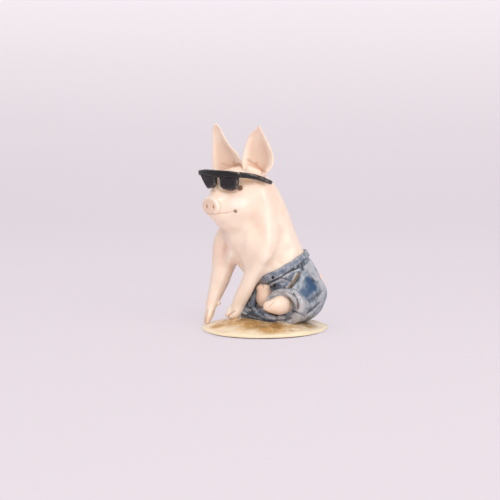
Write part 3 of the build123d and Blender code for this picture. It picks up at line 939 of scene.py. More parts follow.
def sculptGlasses(kind):
    sides, heights, depths = glasses["box"]
    corners = np.array([onHead(s, u, f) for s in sides for u in heights for f in depths])
    clay = newBlock(corners.min(0), corners.max(0), glasses["step"])
    everywhere = wholeOf(clay)

    def plate(outline, shrink, mid, thick, soft):
        def distance(x, y, z):
            u, v, w = bent(x, y, z)
            flat = polygonDistance(u + 0 * v, v + 0 * u, outline) + shrink + soft
            deep = np.abs(w - mid) - thick / 2 + soft
            outside = np.sqrt(np.maximum(flat, 0) ** 2 + np.maximum(deep, 0) ** 2)
            return outside + np.minimum(np.maximum(flat, deep), 0) - soft
        return distance

    if kind == "frame":
        press(clay, *everywhere, plate(glasses["bar"], *glasses["barPlate"]), 0.0)
        for lens in ("leftLens", "rightLens"):
            press(clay, *everywhere, plate(glasses[lens], *glasses["rimPlate"]), 0.3)
            press(clay, *everywhere, plate(glasses[lens], *glasses["wellPlate"]), 0.15, cutting=True)
    elif kind in ("leftLens", "rightLens"):
        press(clay, *everywhere, plate(glasses[kind], *glasses["lensPlate"]), 0.0)
    else:
        s = 1 if kind == "left" else -1
        rows = [(*onHead(s * l, u, f), deep, glasses["armWide"]) for l, u, f, deep in glasses["arm"]]
        addTube(clay, rows, 0.0, across=leftward)
    return clay


# Base: a low oval mound with a thin uneven rim
base = {
    "long": 44, "wide": 39.8, "rim": 0.6, "rise": 3, "lift": 0.4, "rings": 60, "round": 220,
    "hump": {"x": -2.5, "y": -8, "high": 0.6, "spread": 50}, "seed": 7,
    "waves": ((3, 0.004), (5, 0.004), (8, 0.003), (13, 0.0018)),
    "edge": ((1, 0.55), (1, 0.3), (0.992, 0.12), (0.97, 0)),
}


def moundAt(x, y):
    share = (2 * x / base["wide"]) ** 2 + (2 * y / base["long"]) ** 2
    hump = base["hump"]
    swell = hump["high"] * np.exp(-((x - hump["x"]) ** 2 + (y - hump["y"]) ** 2) / hump["spread"])
    return base["lift"] + base["rim"] + base["rise"] * np.maximum(0, 1 - share) + swell


def shapeBase():
    rng = np.random.default_rng(base["seed"])
    turn = np.linspace(0, 2 * math.pi, base["round"], endpoint=False)
    starts = rng.uniform(0, 6, len(base["waves"]))
    edge = 1 + sum(a * np.sin(k * turn + p) for (k, a), p in zip(base["waves"], starts))
    rimX, rimY = edge * np.cos(turn) * base["wide"] / 2, edge * np.sin(turn) * base["long"] / 2
    shares = np.concatenate([np.linspace(0.02, 0.9, base["rings"]), [0.93, 0.955, 0.975, 0.99]])
    bumps = [(rng.uniform(0.25, 1.1), rng.uniform(0, 6.28), rng.uniform(0, 6.28)) for _ in range(24)]
    rows = []
    for share in shares:
        x, y = share * rimX, share * rimY
        ripples = [f ** -1.2 * np.sin(f * (x * math.cos(a) + y * math.sin(a)) + p) for f, a, p in bumps]
        rough = 0.02 * sum(ripples)
        drop = 0.25 * max(0, (share - 0.955) / 0.035) ** 2
        rows.append(np.stack([x, y, moundAt(x, y) + rough * min(1, (1 - share) * 12) - drop], 1))
    for share, height in base["edge"]:
        rows.append(np.stack([rimX * share, rimY * share, np.full_like(rimX, base["lift"] + height)], 1))
    return capped(np.array(rows)), ringFaces(len(rows), base["round"])


# Waistband, pockets, loops and studs lie on the jeans
# painted shade, painted highlight and blue run up the band's profile; spots are angle round the waist and
# rise
band = {
    "high": 1.5, "front": 1.6, "proud": 0.55, "deep": 1.2, "samples": 240,
    "shade": (1, 1, 0.6, 0, 0, 0, 0, 0.7, 1), "painted_highlight": (0, 0, 0.15, 0.6, 0.4, 0.4, 0.6, 0.05, 0),
    "blue": (0, 0, 0, 0.2, 0.4, 0.3, 0, 0, 0),
}
pockets = {
    "angles": (46, 134), "drop": 4.9, "wide": 6.6, "tall": 6.8, "proud": 0.55, "round": 11.2, "wear_and_glint": 0.65,
}
loops = {
    "spots": ((14, 0.95), (52, 0.55), (90, 0.3), (128, 0.55), (166, 0.95)), "size": (1.15, 2.7, 0.65),
    "proud": 0.5,
}
studs = {
    "spots": ((-28, 1.05), (-34, -1.7), (208, 1.05), (214, -1.7)), "size": (0.62, 0.62, 0.5), "proud": 0.5,
}


def shapeBand(block):
    proud = band["proud"]
    rows = []
    for k in range(band["samples"]):
        angle = 360.0 * k / band["samples"]
        high = band["high"] + band["front"] * math.sqrt(0.5 - 0.5 * math.sin(math.radians(angle)))
        profile = [(-band["deep"], 0.0), (0.25, -0.08), (proud * 0.9, 0.12), (proud, 0.5),
                   (proud * 0.97, high * 0.5), (proud, high - 0.4), (proud * 0.85, high - 0.1),
                   (0.2, high + 0.05), (-band["deep"], high - 0.1)]
        wave = 0.07 * math.sin(math.radians(angle * 5)) + 0.05 * math.sin(math.radians(angle * 11 + 40))
        row = []
        for out, rise in profile:
            spot, way = roundWaist(block, angle, rise)
            row.append(spot + way * (out + wave) + waistUp * wave * 1.4)
        rows.append(row)
    return np.array(rows).reshape(-1, 3), ringFaces(len(rows), len(profile), closed=True)


def pocketSpot(block, angle, a, b, out):
    spot, way = roundWaist(block, angle + math.degrees(a / pockets["round"]), -pockets["drop"] + b)
    return spot + way * out


def shapePocket(block, angle, cells=18):
    grid = np.linspace(-1, 1, cells)
    top, under = [], []
    for v in grid:
        for u in grid:
            b = v * pockets["tall"] / 2
            if v < -0.45:
                b -= (1 - abs(u)) * 0.9 * (-v - 0.45) / 0.55
            a = u * pockets["wide"] / 2 * (1 - 0.06 * (1 - v))
            edge = max(abs(u), abs(v))
            hem = 0.12 if v > 0.72 else 0.0
            out = pockets["proud"] * (1 - max(0, edge - 0.8) ** 2 / 0.04 * 0.55) + hem
            top.append(pocketSpot(block, angle, a, b, out))
            under.append(pocketSpot(block, angle, a, b, -0.5))
    n, back = cells, cells * cells
    corners = [j * n + i for j in range(n - 1) for i in range(n - 1)]
    faces = [(k, k + 1, k + n + 1, k + n) for k in corners]
    faces += [tuple(back + k for k in face[::-1]) for face in faces]
    rim = list(range(n)) + [j * n + n - 1 for j in range(1, n)]
    rim += [(n - 1) * n + i for i in range(n - 2, -1, -1)] + [j * n for j in range(n - 2, 0, -1)]
    faces += [(b, a, back + a, back + b) for a, b in zip(rim, rim[1:] + rim[:1])]
    return np.array(top + under), faces


def joinParts(parts):
    points, faces, start = [], [], 0
    for p, f in parts:
        points.append(p)
        faces += [tuple(start + k for k in face) for face in f]
        start += len(p)
    return np.vstack(points), faces


# one small tree sets a rounded stamp on every point, turned to its surface
def stampTree(name, strap):
    tree = bpy.data.node_groups.new(name, "GeometryNodeTree")
    add = tree.nodes.new
    for label, kind, way in (("Geometry", "Geometry", "INPUT"), ("Size", "Vector", "INPUT"),
                             ("Finish", "Material", "INPUT"), ("Geometry", "Geometry", "OUTPUT")):
        tree.interface.new_socket(name=label, in_out=way, socket_type="NodeSocket" + kind)
    source, result = add("NodeGroupInput"), add("NodeGroupOutput")
    cloud, place = add("GeometryNodeMeshToPoints"), add("GeometryNodeInstanceOnPoints")
    smooth, real = add("GeometryNodeSetShadeSmooth"), add("GeometryNodeRealizeInstances")
    finish = add("GeometryNodeSetMaterial")
    if strap:
        cube, stamp = add("GeometryNodeMeshCube"), add("GeometryNodeSubdivisionSurface")
        fill(cube, Size=(1.0, 1.0, 1.0), Vertices_X=4, Vertices_Y=6, Vertices_Z=4)
        fill(stamp, Level=1)
        link(tree, cube.outputs["Mesh"], stamp.inputs["Mesh"])
    else:
        stamp = add("GeometryNodeMeshUVSphere")
        fill(stamp, Segments=10, Rings=6, Radius=1.0)
    turn = None
    for mark, axis in (("out", "Z"), ("along", "Y" if strap else "X")):
        named, align = add("GeometryNodeInputNamedAttribute"), add("FunctionNodeAlignRotationToVector")
        named.data_type = "FLOAT_VECTOR"
        named.inputs["Name"].default_value = mark
        align.axis = axis
        if turn:
            align.pivot_axis = "Z"
            link(tree, turn, align.inputs["Rotation"])
        link(tree, named.outputs["Attribute"], align.inputs["Vector"])
        turn = align.outputs["Rotation"]
    link(tree, turn, place.inputs["Rotation"])
    for a, gives, b, takes in (
            (source, "Geometry", cloud, "Mesh"), (cloud, "Points", place, "Points"),
            (stamp, "Mesh", place, "Instance"), (source, "Size", place, "Scale"),
            (place, "Instances", smooth, "Geometry"), (smooth, "Geometry", real, "Geometry"),
            (real, "Geometry", finish, "Geometry"), (source, "Finish", finish, "Material"),
            (finish, "Geometry", result, "Geometry")):
        link(tree, a.outputs[gives], b.inputs[takes])
    return tree


# spots are pairs of a place and the way out of the surface there
def stamped(name, tree, spots, size, finish):
    mesh = bpy.data.meshes.new(name + "_spots")
    mesh.from_pydata([tuple(p * mm) for p, out in spots], [], [])
    for mark, ways in (("out", [out for p, out in spots]), ("along", [waistUp] * len(spots))):
        data = mesh.attributes.new(mark, "FLOAT_VECTOR", "POINT").data
        data.foreach_set("vector", np.array(ways, np.float32).ravel())
    maker = bpy.data.objects.new(name + "_spots", mesh)
    scene.collection.objects.link(maker)
    stamper = maker.modifiers.new("stamps", "NODES")
    stamper.node_group = tree
    sockets = {s.name: s.identifier for s in tree.interface.items_tree if s.in_out == "INPUT"}
    stamper[sockets["Size"]] = [v * mm for v in size]
    stamper[sockets["Finish"]] = finish
    bpy.context.view_layer.update()
    graph = bpy.context.evaluated_depsgraph_get()
    made = bpy.data.meshes.new_from_object(maker.evaluated_get(graph))
    maker.modifiers.remove(stamper)
    bpy.data.objects.remove(maker)
    made.name = name
    piece = bpy.data.objects.new(name, made)
    scene.collection.objects.link(piece)
    return piece


# Finishes, hand-painted and satin-glazed, with painted highlights and painted shade in their colours
def grain(tree, noise, *ends):
    return rangeNode(tree, noiseNode(tree, *noise), *ends)


# paint gets its last colour, its sheen and a fine grain
def glaze(tree, bsdf, colour, sheen, noise, strength, depth):
    link(tree, colour, bsdf.inputs["Base Color"])
    for name, value in zip(("Roughness", "Coat Weight", "Coat Roughness"), sheen):
        bsdf.inputs[name].default_value = value
    bumpFrom(tree, bsdf, noiseNode(tree, *noise), strength, depth)


def skinFinish():
    material, tree, bsdf = newMaterial("painted_skin")
    colour = layer(tree, srgb(254, 234, 215), srgb(252, 222, 201), grain(tree, (70.0, 3.0), 0.42, 0.68))
    colour = layer(tree, colour, srgb(255, 242, 226), grain(tree, (110.0, 2.0), 0.55, 0.8, 0.0, 0.6))
    # paler where the painted highlights lie
    colour = coat(tree, colour, srgb(255, 247, 234), "painted_highlight", 0.9)
    colour = coat(tree, colour, srgb(226, 190, 164), "blush", 0.9)
    # darker in hollows and creases: painted shade
    colour = coat(tree, colour, srgb(226, 184, 158), "crevice_shade", 0.9)
    # brown along the painted mouth line; at the ear roots, the low insides of the ears and the toe clefts
    # it is painted shade
    colour = coat(tree, colour, srgb(190, 120, 84), "crease", 0.85)
    # ochre: painted shade under the glasses and along the shade strokes, browner round each eye and towards
    # the hooves
    colour = coat(tree, colour, srgb(202, 158, 106), "ochre", 0.9)
    colour = coat(tree, colour, srgb(112, 80, 54), "dark", 1.0)
    glaze(tree, bsdf, colour, (0.4, 0.3, 0.3), (1300.0, 3.0), 0.08, 0.0002)
    return material


def denimFinish(name, mid, pale, deep):
    material, tree, bsdf = newMaterial(name)
    streak = grain(tree, (330.0, 6.0, 0.66, (1.6, 1.6, 0.7)), 0.42, 0.7, 0.0, 0.85)
    blotch = grain(tree, (150.0, 5.0, 0.6), 0.44, 0.7, 0.0, 0.75)
    dry = grain(tree, (480.0, 4.0, 0.65), 0.3, 0.5)
    wear_and_glint = grain(tree, (420.0, 4.0), 0.2, 0.4, 0.55, 0.96)
    broken = grain(tree, (390.0, 4.0, 0.65), 0.36, 0.54, 0.6, 1.0)
    colour = layer(tree, layer(tree, mid, deep, blotch), pale, streak)
    # paler on raised folds and edges: painted highlights, with paler worn cloth on the pockets and cuffs
    colour = coat(tree, colour, srgb(206, 205, 210), "highlight_and_wear", times(tree, dry, 0.9))
    colour = coat(tree, colour, srgb(36, 74, 112), "patch", wear_and_glint)
    # near black in creases, hollows and gaps between parts: painted shade
    colour = coat(tree, colour, srgb(46, 45, 51), "crevice_shade", broken)
    colour = coat(tree, colour, srgb(146, 124, 96), "ochre", 0.95)
    glaze(tree, bsdf, colour, (0.4, 0.25, 0.2), (1500.0, 4.0, 0.6), 0.25, 0.0003)
    return material


def blackFinish(name, colour, wear_and_glint):
    material, tree, bsdf = newMaterial(name)
    # paler on sharp edges and along the glint strokes: painted glints, with some wear
    colour = coat(tree, colour, wear_and_glint, "wear_and_glint", grain(tree, (700.0, 5.0, 0.7), 0.4, 0.56))
    colour = coat(tree, colour, srgb(92, 70, 56), "low", 0.8)
    glaze(tree, bsdf, colour, (0.36, 0.35, 0.12), (900.0, 4.0, 0.6), 0.15, 0.0003)
    bsdf.inputs["Specular IOR Level"].default_value = 0.3
    return material


def sandFinish():
    material, tree, bsdf = newMaterial("painted_sand")
    pale, warm = srgb(248, 232, 206), srgb(240, 216, 176)
    colour = layer(tree, pale, warm, grain(tree, (130.0, 6.0, 0.65), 0.42, 0.62))
    wash_and_shade = grain(tree, (190.0, 6.0, 0.68), 0.34, 0.6)
    stain_and_shade = grain(tree, (280.0, 6.0, 0.7), 0.4, 0.62, 0.0, 0.75)
    colour = coat(tree, colour, srgb(200, 152, 84), "ochre", wash_and_shade)
    # dark brown, mottled, where painted contact shadow lies round the hooves and under the jeans
    colour = coat(tree, colour, srgb(128, 88, 44), "dark", stain_and_shade)
    # paler towards the rim: a pale edge, lifted as painted light on the wall that the lamps above leave
    # darker
    colour = coat(tree, colour, srgb(255, 238, 204), "rim", 0.9)
    glaze(tree, bsdf, colour, (0.42, 0.2, 0.2), (1400.0, 5.0, 0.65), 0.3, 0.0003)
    return material


def feltFinish():
    material, tree, bsdf = newMaterial("felt")
    colour = layer(tree, srgb(92, 72, 58), srgb(66, 52, 44), grain(tree, (1500.0, 6.0, 0.8), 0.35, 0.65))
    glaze(tree, bsdf, colour, (0.95,), (2500.0, 6.0, 0.8), 0.6, 0.0003)
    return material


paintedSkin = skinFinish()
paintedDenim = denimFinish("painted_denim", srgb(106, 121, 137), srgb(184, 189, 197), srgb(56, 79, 106))
paintedCuff = denimFinish("painted_cuff", srgb(122, 128, 134), srgb(192, 193, 193), srgb(78, 90, 103))
blackGloss = blackFinish("black_gloss", srgb(24, 21, 22), srgb(150, 140, 134))
lensGloss = blackFinish("lens_gloss", srgb(26, 22, 27), srgb(70, 62, 66))
paintedSand = sandFinish()
felt = feltFinish()


def keep(piece, slot, *stands):
    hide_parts(*stands)
    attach(piece, "root")


def clayPiece(name, clay, material, marks):
    points, quads = netOf(clay)
    points = relax(clay, points, quads, 2)
    return meshPiece(name, points, quads, material, marks(points))


skinCoats = ("painted_highlight", "blush", "crevice_shade", "crease", "ochre", "dark")
denimCoats = ("highlight_and_wear", "crevice_shade", "patch", "ochre")


def blank(points, coats):
    return {mark: np.zeros(len(points)) for mark in coats}


# Skin piece
skinClay, lines = sculptSkin()


def skinMarks(points):
    nearest = lambda paths: np.min([nearLine(points, path) for path in paths], axis=0)
    hollow = hollowness(skinClay, points, 0.9)
    out = slopeOf(skinClay, points)
    mouth = nearest(lines["mouth"])
    corners = nearest([path[-1:] for path in lines["mouth"]])
    noses = nearest([[spot] for spot in lines["nostrils"]])
    both = lambda spots: [[onHead(s * left, up, far) for left, up, far in spots] for s in (1, -1)]
    wash_and_shade, eyes = nearest(both(skin["shadeUnderTemples"])), nearest(both([skin["eye"]]))
    disc = nearLine(points, [onHead(*skin["disc"])])
    hooves = fade(points[:, 2], 1.5, 6.5) * 0.45
    strokes = leftEar["creases"] + rightEar["creases"] + skin["toeLines"]
    shade = painted(points, out, skin["shade"])
    # painted shade under the temple arms and along the shade strokes; browner round each eye and towards
    # the hooves
    brown = [fade(wash_and_shade, 0.4, 2.6) * 0.75, fade(eyes, 0.9, 1.6) * 0.5, hooves, shade]
    dark = [fade(corners, 0.4, 0.85), fade(noses, 0.3, 0.7) * 0.4, fade(eyes, 0.75, 1.05)]
    # painted highlights along the light strokes, painted shade in the hollows
    return {"painted_highlight": painted(points, out, skin["painted_highlight"]), "blush": fade(disc, 2.4, 3.6) * 0.4,
            "crevice_shade": np.clip((hollow - 0.06) * 3.2, 0, 1),
            "crease": np.maximum(fade(mouth, 0.12, 0.36) * 0.45, painted(points, out, strokes)),
            "ochre": np.maximum.reduce(brown), "dark": np.maximum.reduce(dark)}


skinPiece = clayPiece("pig_skin", skinClay, paintedSkin, skinMarks)
keep(skinPiece, "skin", "torso", "head", "left_foreleg", "right_foreleg")
print("skin")

for name, ear in (("left_ear", leftEar), ("right_ear", rightEar)):
    points, faces, marks = shapeEar(ear)
    marks = {**blank(points, skinCoats), **marks}
    keep(meshPiece(name + "_leaf", points, faces, paintedSkin, marks), "skin", name)
print("ears")

# Denim pieces
jeansClay = sculptJeans()
# hips without folds or waist cut, which the applied strips follow
wholeHips = newBlock(*jeans["hipBox"], jeans["hipStep"])
for part, blend in (("hips", 0.0), ("leftThigh", jeans["legBlend"]), ("rightThigh", jeans["legBlend"])):
    addTube(wholeHips, jeans[part], blend)
# brush strokes on the denim, painted shade and painted highlights among them: path, half width and strength
brush = {
    "patch": [
        ([(308, 279.8), (311.5, 284), (313.5, 288)], 4.9, 1),
        ([(311.5, 288.5), (306.5, 294.5), (303.5, 291.5)], 4.6, 1), ([(308, 284), (306, 289)], 3.2, 0.8),
    ],
    # painted shade: dark strokes in creases, under the band and hem, and between the thighs
    "crevice_shade": [
        ([(267.5, 283.5), (280, 277), (293, 270), (299, 266.5)], 1.7, 1),
        ([(279, 277.4), (285, 278.6), (291, 281)], 1.3, 0.9),
        ([(243.5, 313.5), (251, 315), (262, 318.8), (274, 321.5), (288, 322)], 4.2, 0.95),
        ([(252.5, 288), (250, 298), (248.5, 306), (252, 312)], 4, 0.95),
        ([(257, 300), (257.5, 308), (262, 314)], 3, 0.85),
        ([(266.5, 311.5), (272, 313.8), (277.5, 315.5)], 1.8, 0.95),
        ([(303, 300), (304.5, 306), (303.5, 312)], 1.6, 0.7),
        ([(306.5, 313.5), (312, 309.5), (318.5, 303)], 1.3, 0.8),
        ([(301.5, 263.5), (302.5, 270)], 1.5, 0.9),
        ([(268, 286.5), (276, 289), (283, 290.5), (291, 292)], 1.8, 0.9),
        ([(299.8, 273), (295.6, 281.5), (289.5, 289)], 1.1, 0.9),
        ([(293, 311), (298.5, 313.8), (304.5, 317)], 1.3, 1),
        ([(297, 297), (299.5, 303), (299, 309)], 1.4, 0.8),
        ([(303.5, 262), (306.5, 270), (312, 276.5), (317, 278)], 1.1, 0.7),
        ([(275, 283), (279, 285.5), (285, 286)], 1.2, 0.6),
        ([(311, 300.5), (317, 297), (322, 291)], 1, 0.6),
    ],
    # painted highlights on the ridges of the folds
    "highlight_and_wear": [
        ([(296.5, 273.5), (292.5, 280.5), (286.5, 287.5)], 1.1, 1),
        ([(321, 281), (324, 290), (320, 302)], 3.8, 0.6), ([(305, 317), (312, 312), (319, 304)], 2, 0.7),
        ([(300.5, 274), (303, 277.5), (300, 284)], 2.2, 0.5),
        ([(270, 285.5), (280, 280), (291, 273.5)], 1.1, 0.8),
        ([(287, 319.5), (296, 321), (305, 319.5)], 1.6, 0.6),
        ([(283, 276.6), (291.5, 271.8), (299.5, 269.6)], 1, 1),
        ([(276, 282), (281, 279.4), (287, 281)], 1.3, 0.6),
    ],
    "ochre": [([(298.3, 273.5), (294.5, 280), (288, 288.5)], 1.9, 1)],
    "fleck": [
        ([(242, 312), (246, 313.6)], 1.5, 0.8), ([(247.5, 308.5), (250.5, 310.5)], 0.8, 0.7),
        ([(249, 315.8), (256, 317.8), (261, 319.2)], 0.8, 0.6),
        ([(248.5, 302.5), (249.5, 306.5)], 0.8, 0.5),
        ([(262, 316.6), (269, 318.6), (276, 319.4)], 0.9, 0.7), ([(251.8, 292.5), (251.3, 299)], 0.8, 0.5),
        ([(278, 321.5), (286, 321), (293, 319.5)], 0.9, 0.4),
        ([(293, 320.3), (299, 320.3), (306, 318.3)], 1.5, 0.7),
        ([(265.6, 314.8), (270.2, 317.5), (278.4, 318.4), (285.6, 316)], 1.3, 0.75),
    ],
}
cuffBrush = {
    # painted shade in the folds between the rolls
    "crevice_shade": [
        ([(294.5, 311), (300, 313.6), (306, 316.2)], 1.2, 1),
        ([(293.5, 293.5), (297, 299), (298.3, 304), (297.8, 308.5)], 1.1, 0.95),
        ([(264, 312), (270, 316.5), (279, 318.5), (287, 316)], 0.9, 0.6),
        ([(286, 291.5), (291, 293.5), (295, 297)], 0.8, 0.6),
        ([(267.5, 312), (272, 313.6), (277, 315)], 1.8, 0.9),
        ([(277, 319.5), (284, 320.3), (291, 318)], 1.8, 0.8),
    ],
    # pale on the tops of the rolls: painted highlights on the paler cuff cloth
    "highlight_and_wear": [
        ([(286, 292.5), (291.5, 296.5), (294, 302), (293.5, 308), (290, 313.5)], 2.8, 1),
        ([(299.5, 296.5), (302, 303), (301, 310)], 2.2, 1),
        ([(264.5, 315), (270, 317.2), (276, 317.8)], 1.5, 0.9),
        ([(253.5, 296), (254.8, 302), (259, 309.5), (262.5, 313)], 1.9, 1),
        ([(272, 291), (279, 289.8), (286, 291)], 1.6, 0.7),
    ],
    "patch": [],
    "fleck": [
        ([(287, 293.2), (291.8, 297.2), (293.6, 302), (293, 308)], 1.6, 0.8),
        ([(265.6, 314.8), (270.2, 317.5), (278.4, 318.4), (285.6, 316), (291, 309)], 1.5, 0.85),
    ],
    # browner inside the cuffs round the feet: painted shade
    "ochre": [
        ([(268, 294.5), (277, 291.5), (284.5, 293), (289, 297.5), (290.8, 303), (289.5, 309)], 1.3, 0.5),
        ([(257, 298), (260, 305), (264.5, 310)], 2.2, 0.7),
    ],
}


# the hidden hip is painted like the seen one
def acrossWaist(points):
    return points - 2 * ((points - waistAt) @ waistLeft)[:, None] * waistLeft


def denimMarks(clay, strokes, depth=1.0, wear_and_glint=0.0, both=False):
    def marks(points):
        hollow = hollowness(clay, points, 0.8)
        out = slopeOf(clay, points)
        laid = {mark: painted(points, out, strokes[mark]) for mark in strokes}
        if both:
            swapped, turned = acrossWaist(points), out - 2 * (out @ waistLeft)[:, None] * waistLeft
            for mark in strokes:
                laid[mark] = np.maximum(laid[mark], painted(swapped, turned, strokes[mark]))
        # paler on edges: painted highlights, at least as pale as the given wear; darker in hollows: painted
        # shade
        edges = np.clip((-hollow - 0.16) * 3.0, wear_and_glint, 1)
        hollow_shade = np.clip((hollow - 0.05) * 3.5, 0, 1) * depth
        return {"highlight_and_wear": np.maximum.reduce([edges, laid["highlight_and_wear"], laid["fleck"]]),
                "crevice_shade": np.maximum(hollow_shade, laid["crevice_shade"]) * (1 - laid["fleck"]),
                "patch": laid["patch"], "ochre": laid["ochre"]}
    return marks


denim = denimMarks(jeansClay, brush, both=True)
keep(clayPiece("jeans_denim", jeansClay, paintedDenim, denim), "denim", "jeans")
for name in ("left", "right"):
    clay = sculptCuff(cuffs[name])
    denim = denimMarks(clay, cuffBrush, depth=0.15, wear_and_glint=0.55)
    keep(clayPiece(name + "_rolled_cuff", clay, paintedCuff, denim), "cuff", name + "_cuff")

points, faces = shapeBand(wholeHips)
count, rows = band["samples"], len(band["shade"])
turn = np.repeat(np.arange(count) * 360.0 / count, rows)
row = np.tile(np.arange(rows), count)
patchy = 0.5 + 0.5 * np.sin(np.radians(turn * 17) + row * 1.1) * np.cos(np.radians(turn * 7) - row * 0.6)
# round the front, under the belly, the band is darker and browner: painted shade
under = fade(np.abs(turn - 285.0), 18.0, 40.0)
shade, painted_highlight, blue = (np.tile(band[key], count) for key in ("shade", "painted_highlight", "blue"))
marks = {
    "crevice_shade": np.maximum(shade, under * 0.5), "highlight_and_wear": painted_highlight * (0.25 + 1.4 * patchy) * (1 - 0.6 * under),
    "patch": blue * (1.5 - 1.3 * patchy) * (1 - under), "ochre": 0.35 * under,
}
keep(meshPiece("waistband_denim", points, faces, paintedDenim, marks), "denim", "waistband")
points, faces = joinParts([shapePocket(wholeHips, angle) for angle in pockets["angles"]])
marks = blank(points, denimCoats)
marks["highlight_and_wear"] += pockets["wear_and_glint"]
keep(meshPiece("back_pocket_patches", points, faces, paintedDenim, marks), "denim", "back_pockets")
for name, strap, spec, finish, slot, stands in (
        ("belt_loop_straps", True, loops, paintedDenim, "denim", "belt_loops"),
        ("pocket_studs", False, studs, blackGloss, "rivet", "pocket_rivets")):
    spots = [roundWaist(wholeHips, angle, rise) for angle, rise in spec["spots"]]
    spots = [(p + out * spec["proud"], out) for p, out in spots]
    keep(stamped(name, stampTree(name, strap), spots, spec["size"], finish), slot, stands)
print("denim")

# Feet
for name in ("left", "right"):
    clay, grooves = sculptFoot(feet[name])

    def footMarks(points):
        foot = feet[name]
        hollow = hollowness(clay, points, 0.7)
        out = slopeOf(clay, points)
        # darker in the clefts and along the dark strokes: painted shade
        dark = [fade(nearLine(points, path), size * 0.9, size * 1.8) * depth
                for path, size, depth in grooves]
        marks = blank(points, skinCoats)
        marks["blush"] += foot["blush"]
        # darker in hollows: painted shade
        marks["crevice_shade"] = np.clip((hollow - 0.05) * 3.2, 0, 1)
        marks["ochre"] = np.maximum(painted(points, out, foot["ochre"]), foot["stain_and_shade"])
        marks["dark"] = np.maximum.reduce([*dark, painted(points, out, foot["dark"])])
        return marks

    keep(clayPiece(name + "_trotter", clay, paintedSkin, footMarks), "skin", name + "_hind_foot")
print("feet")

# Sunglasses
for kind, name, slot, stands, finish in (
        ("frame", "glasses_front", "black", "sunglasses_frame", blackGloss),
        ("left", "left_arm", "black", "left_temple", blackGloss),
        ("right", "right_arm", "black", "right_temple", blackGloss),
        ("leftLens", "left_dark_lens", "lens", "left_lens", lensGloss),
        ("rightLens", "right_dark_lens", "lens", "right_lens", lensGloss)):
    clay = sculptGlasses(kind)

    def glassMarks(points):
        hollow = hollowness(clay, points, 0.5)
        glints_and_scuffs = painted(points, slopeOf(clay, points), glasses["glints_and_scuffs"])
        # pale on sharp edges and along the strokes: painted glints with some wear; browner towards the
        # bottom
        return {"wear_and_glint": np.maximum(np.clip((-hollow - 0.25) * 3.0, 0, 1), glints_and_scuffs),
                "low": fade(points[:, 2] - head["at"][2], 0.8, 2.0) * 0.6}

    keep(clayPiece(name, clay, finish, glassMarks), slot, stands)
print("sunglasses")

# Base, with washes of paint and of painted contact shadow: x, y and reach
points, faces = shapeBase()
washes = {
    "ochre": (
        (12.5, -1, 8), (8, -7, 7), (13, 6, 5), (2, -10, 8), (-3, -13, 6), (8, 12, 6), (-9, -17, 4),
        (1, -17, 4.5), (-12, 8, 8), (-4, 18, 6), (-15, -5, 6),
    ),
    # painted contact shadow round the hooves and under the jeans
    "dark": (
        (9, -3, 5), (3, -7, 6), (-3.5, -11, 4), (9, 3, 5), (13, 0, 3), (7, 13, 5), (-9.5, -18, 2.6),
        (-13, 6, 6),
    ),
}
marks = {}
for mark, spots in washes.items():
    away = [nearLine(points, [(x, y, moundAt(x, y))]) / reach for x, y, reach in spots]
    marks[mark] = fade(np.min(away, axis=0), 0.35, 1.0)
fromMiddle = np.hypot(2 * points[:, 0] / base["wide"], 2 * points[:, 1] / base["long"])
# paler towards the rim, partly as painted light
marks["rim"] = fade(1 - fromMiddle, 0.02, 0.14)
keep(meshPiece("sand_base", points, faces, paintedSand, marks), "sand", "base_plate")

# Felt under the base, cut a little smaller than it
pad = {
    "wide": 37.2, "long": 41.4, "thick": 0.4, "round": 96,
    "rings": ((0.3, 1), (0.7, 1), (0.985, 1), (1, 0.7), (1, 0.3), (0.99, 0), (0.7, 0), (0.3, 0)),
}


def shapePad():
    turn = np.linspace(0, 2 * math.pi, pad["round"], endpoint=False)
    x, y = pad["wide"] / 2 * np.cos(turn), pad["long"] / 2 * np.sin(turn)
    rows = [np.stack([x * share, y * share, 0 * x + height * pad["thick"]], 1)
            for share, height in pad["rings"]]
    return capped(np.array(rows)), ringFaces(len(rows), pad["round"])


padPiece = meshPiece("felt_pad", *shapePad(), felt)
keep(padPiece, "pad", "base_pad")
print("base")

# Tail: a short curl against the seat; pairs are at its root and at its end
tail = {
    "across": -3.6, "height": 16.4, "curl": (1, 1.65), "thick": (0.9, 0.55), "deep": (-0.8, 0.5),
    "turn": 320, "step": 0.16,
    "search": (24.5, 10, -0.1), "room": 3.2,
}


def sculptTail():
    # the seat's surface, found from behind
    line = np.array([(tail["across"], y, tail["height"]) for y in np.arange(*tail["search"])])
    at = line[np.nonzero(readField(jeansClay, line) < 0)[0][0]]
    clay = newBlock(at - tail["room"], at + tail["room"], tail["step"])
    rows = []
    for share in np.linspace(0, 1, 16):
        turn = math.radians(tail["turn"] * share)
        curl, thick, deep = (np.interp(share, (0, 1), tail[key]) for key in ("curl", "thick", "deep"))
        place = at + np.array([curl * math.cos(turn), deep, curl * math.sin(turn)])
        rows.append((*place, thick, thick))
    addTube(clay, rows, 0.0, across=(0, 1, 0), pieces=2)
    return clay


tailMarks = lambda points: blank(points, skinCoats)
keep(clayPiece("curly_tail", sculptTail(), paintedSkin, tailMarks), "skin", "tail")
print("tail")

# Stage: pale sweep and soft lamps
stageSizes = {"near": 0.45, "back": 0.75, "bend": 0.35, "top": 0.9, "half": 1.1}


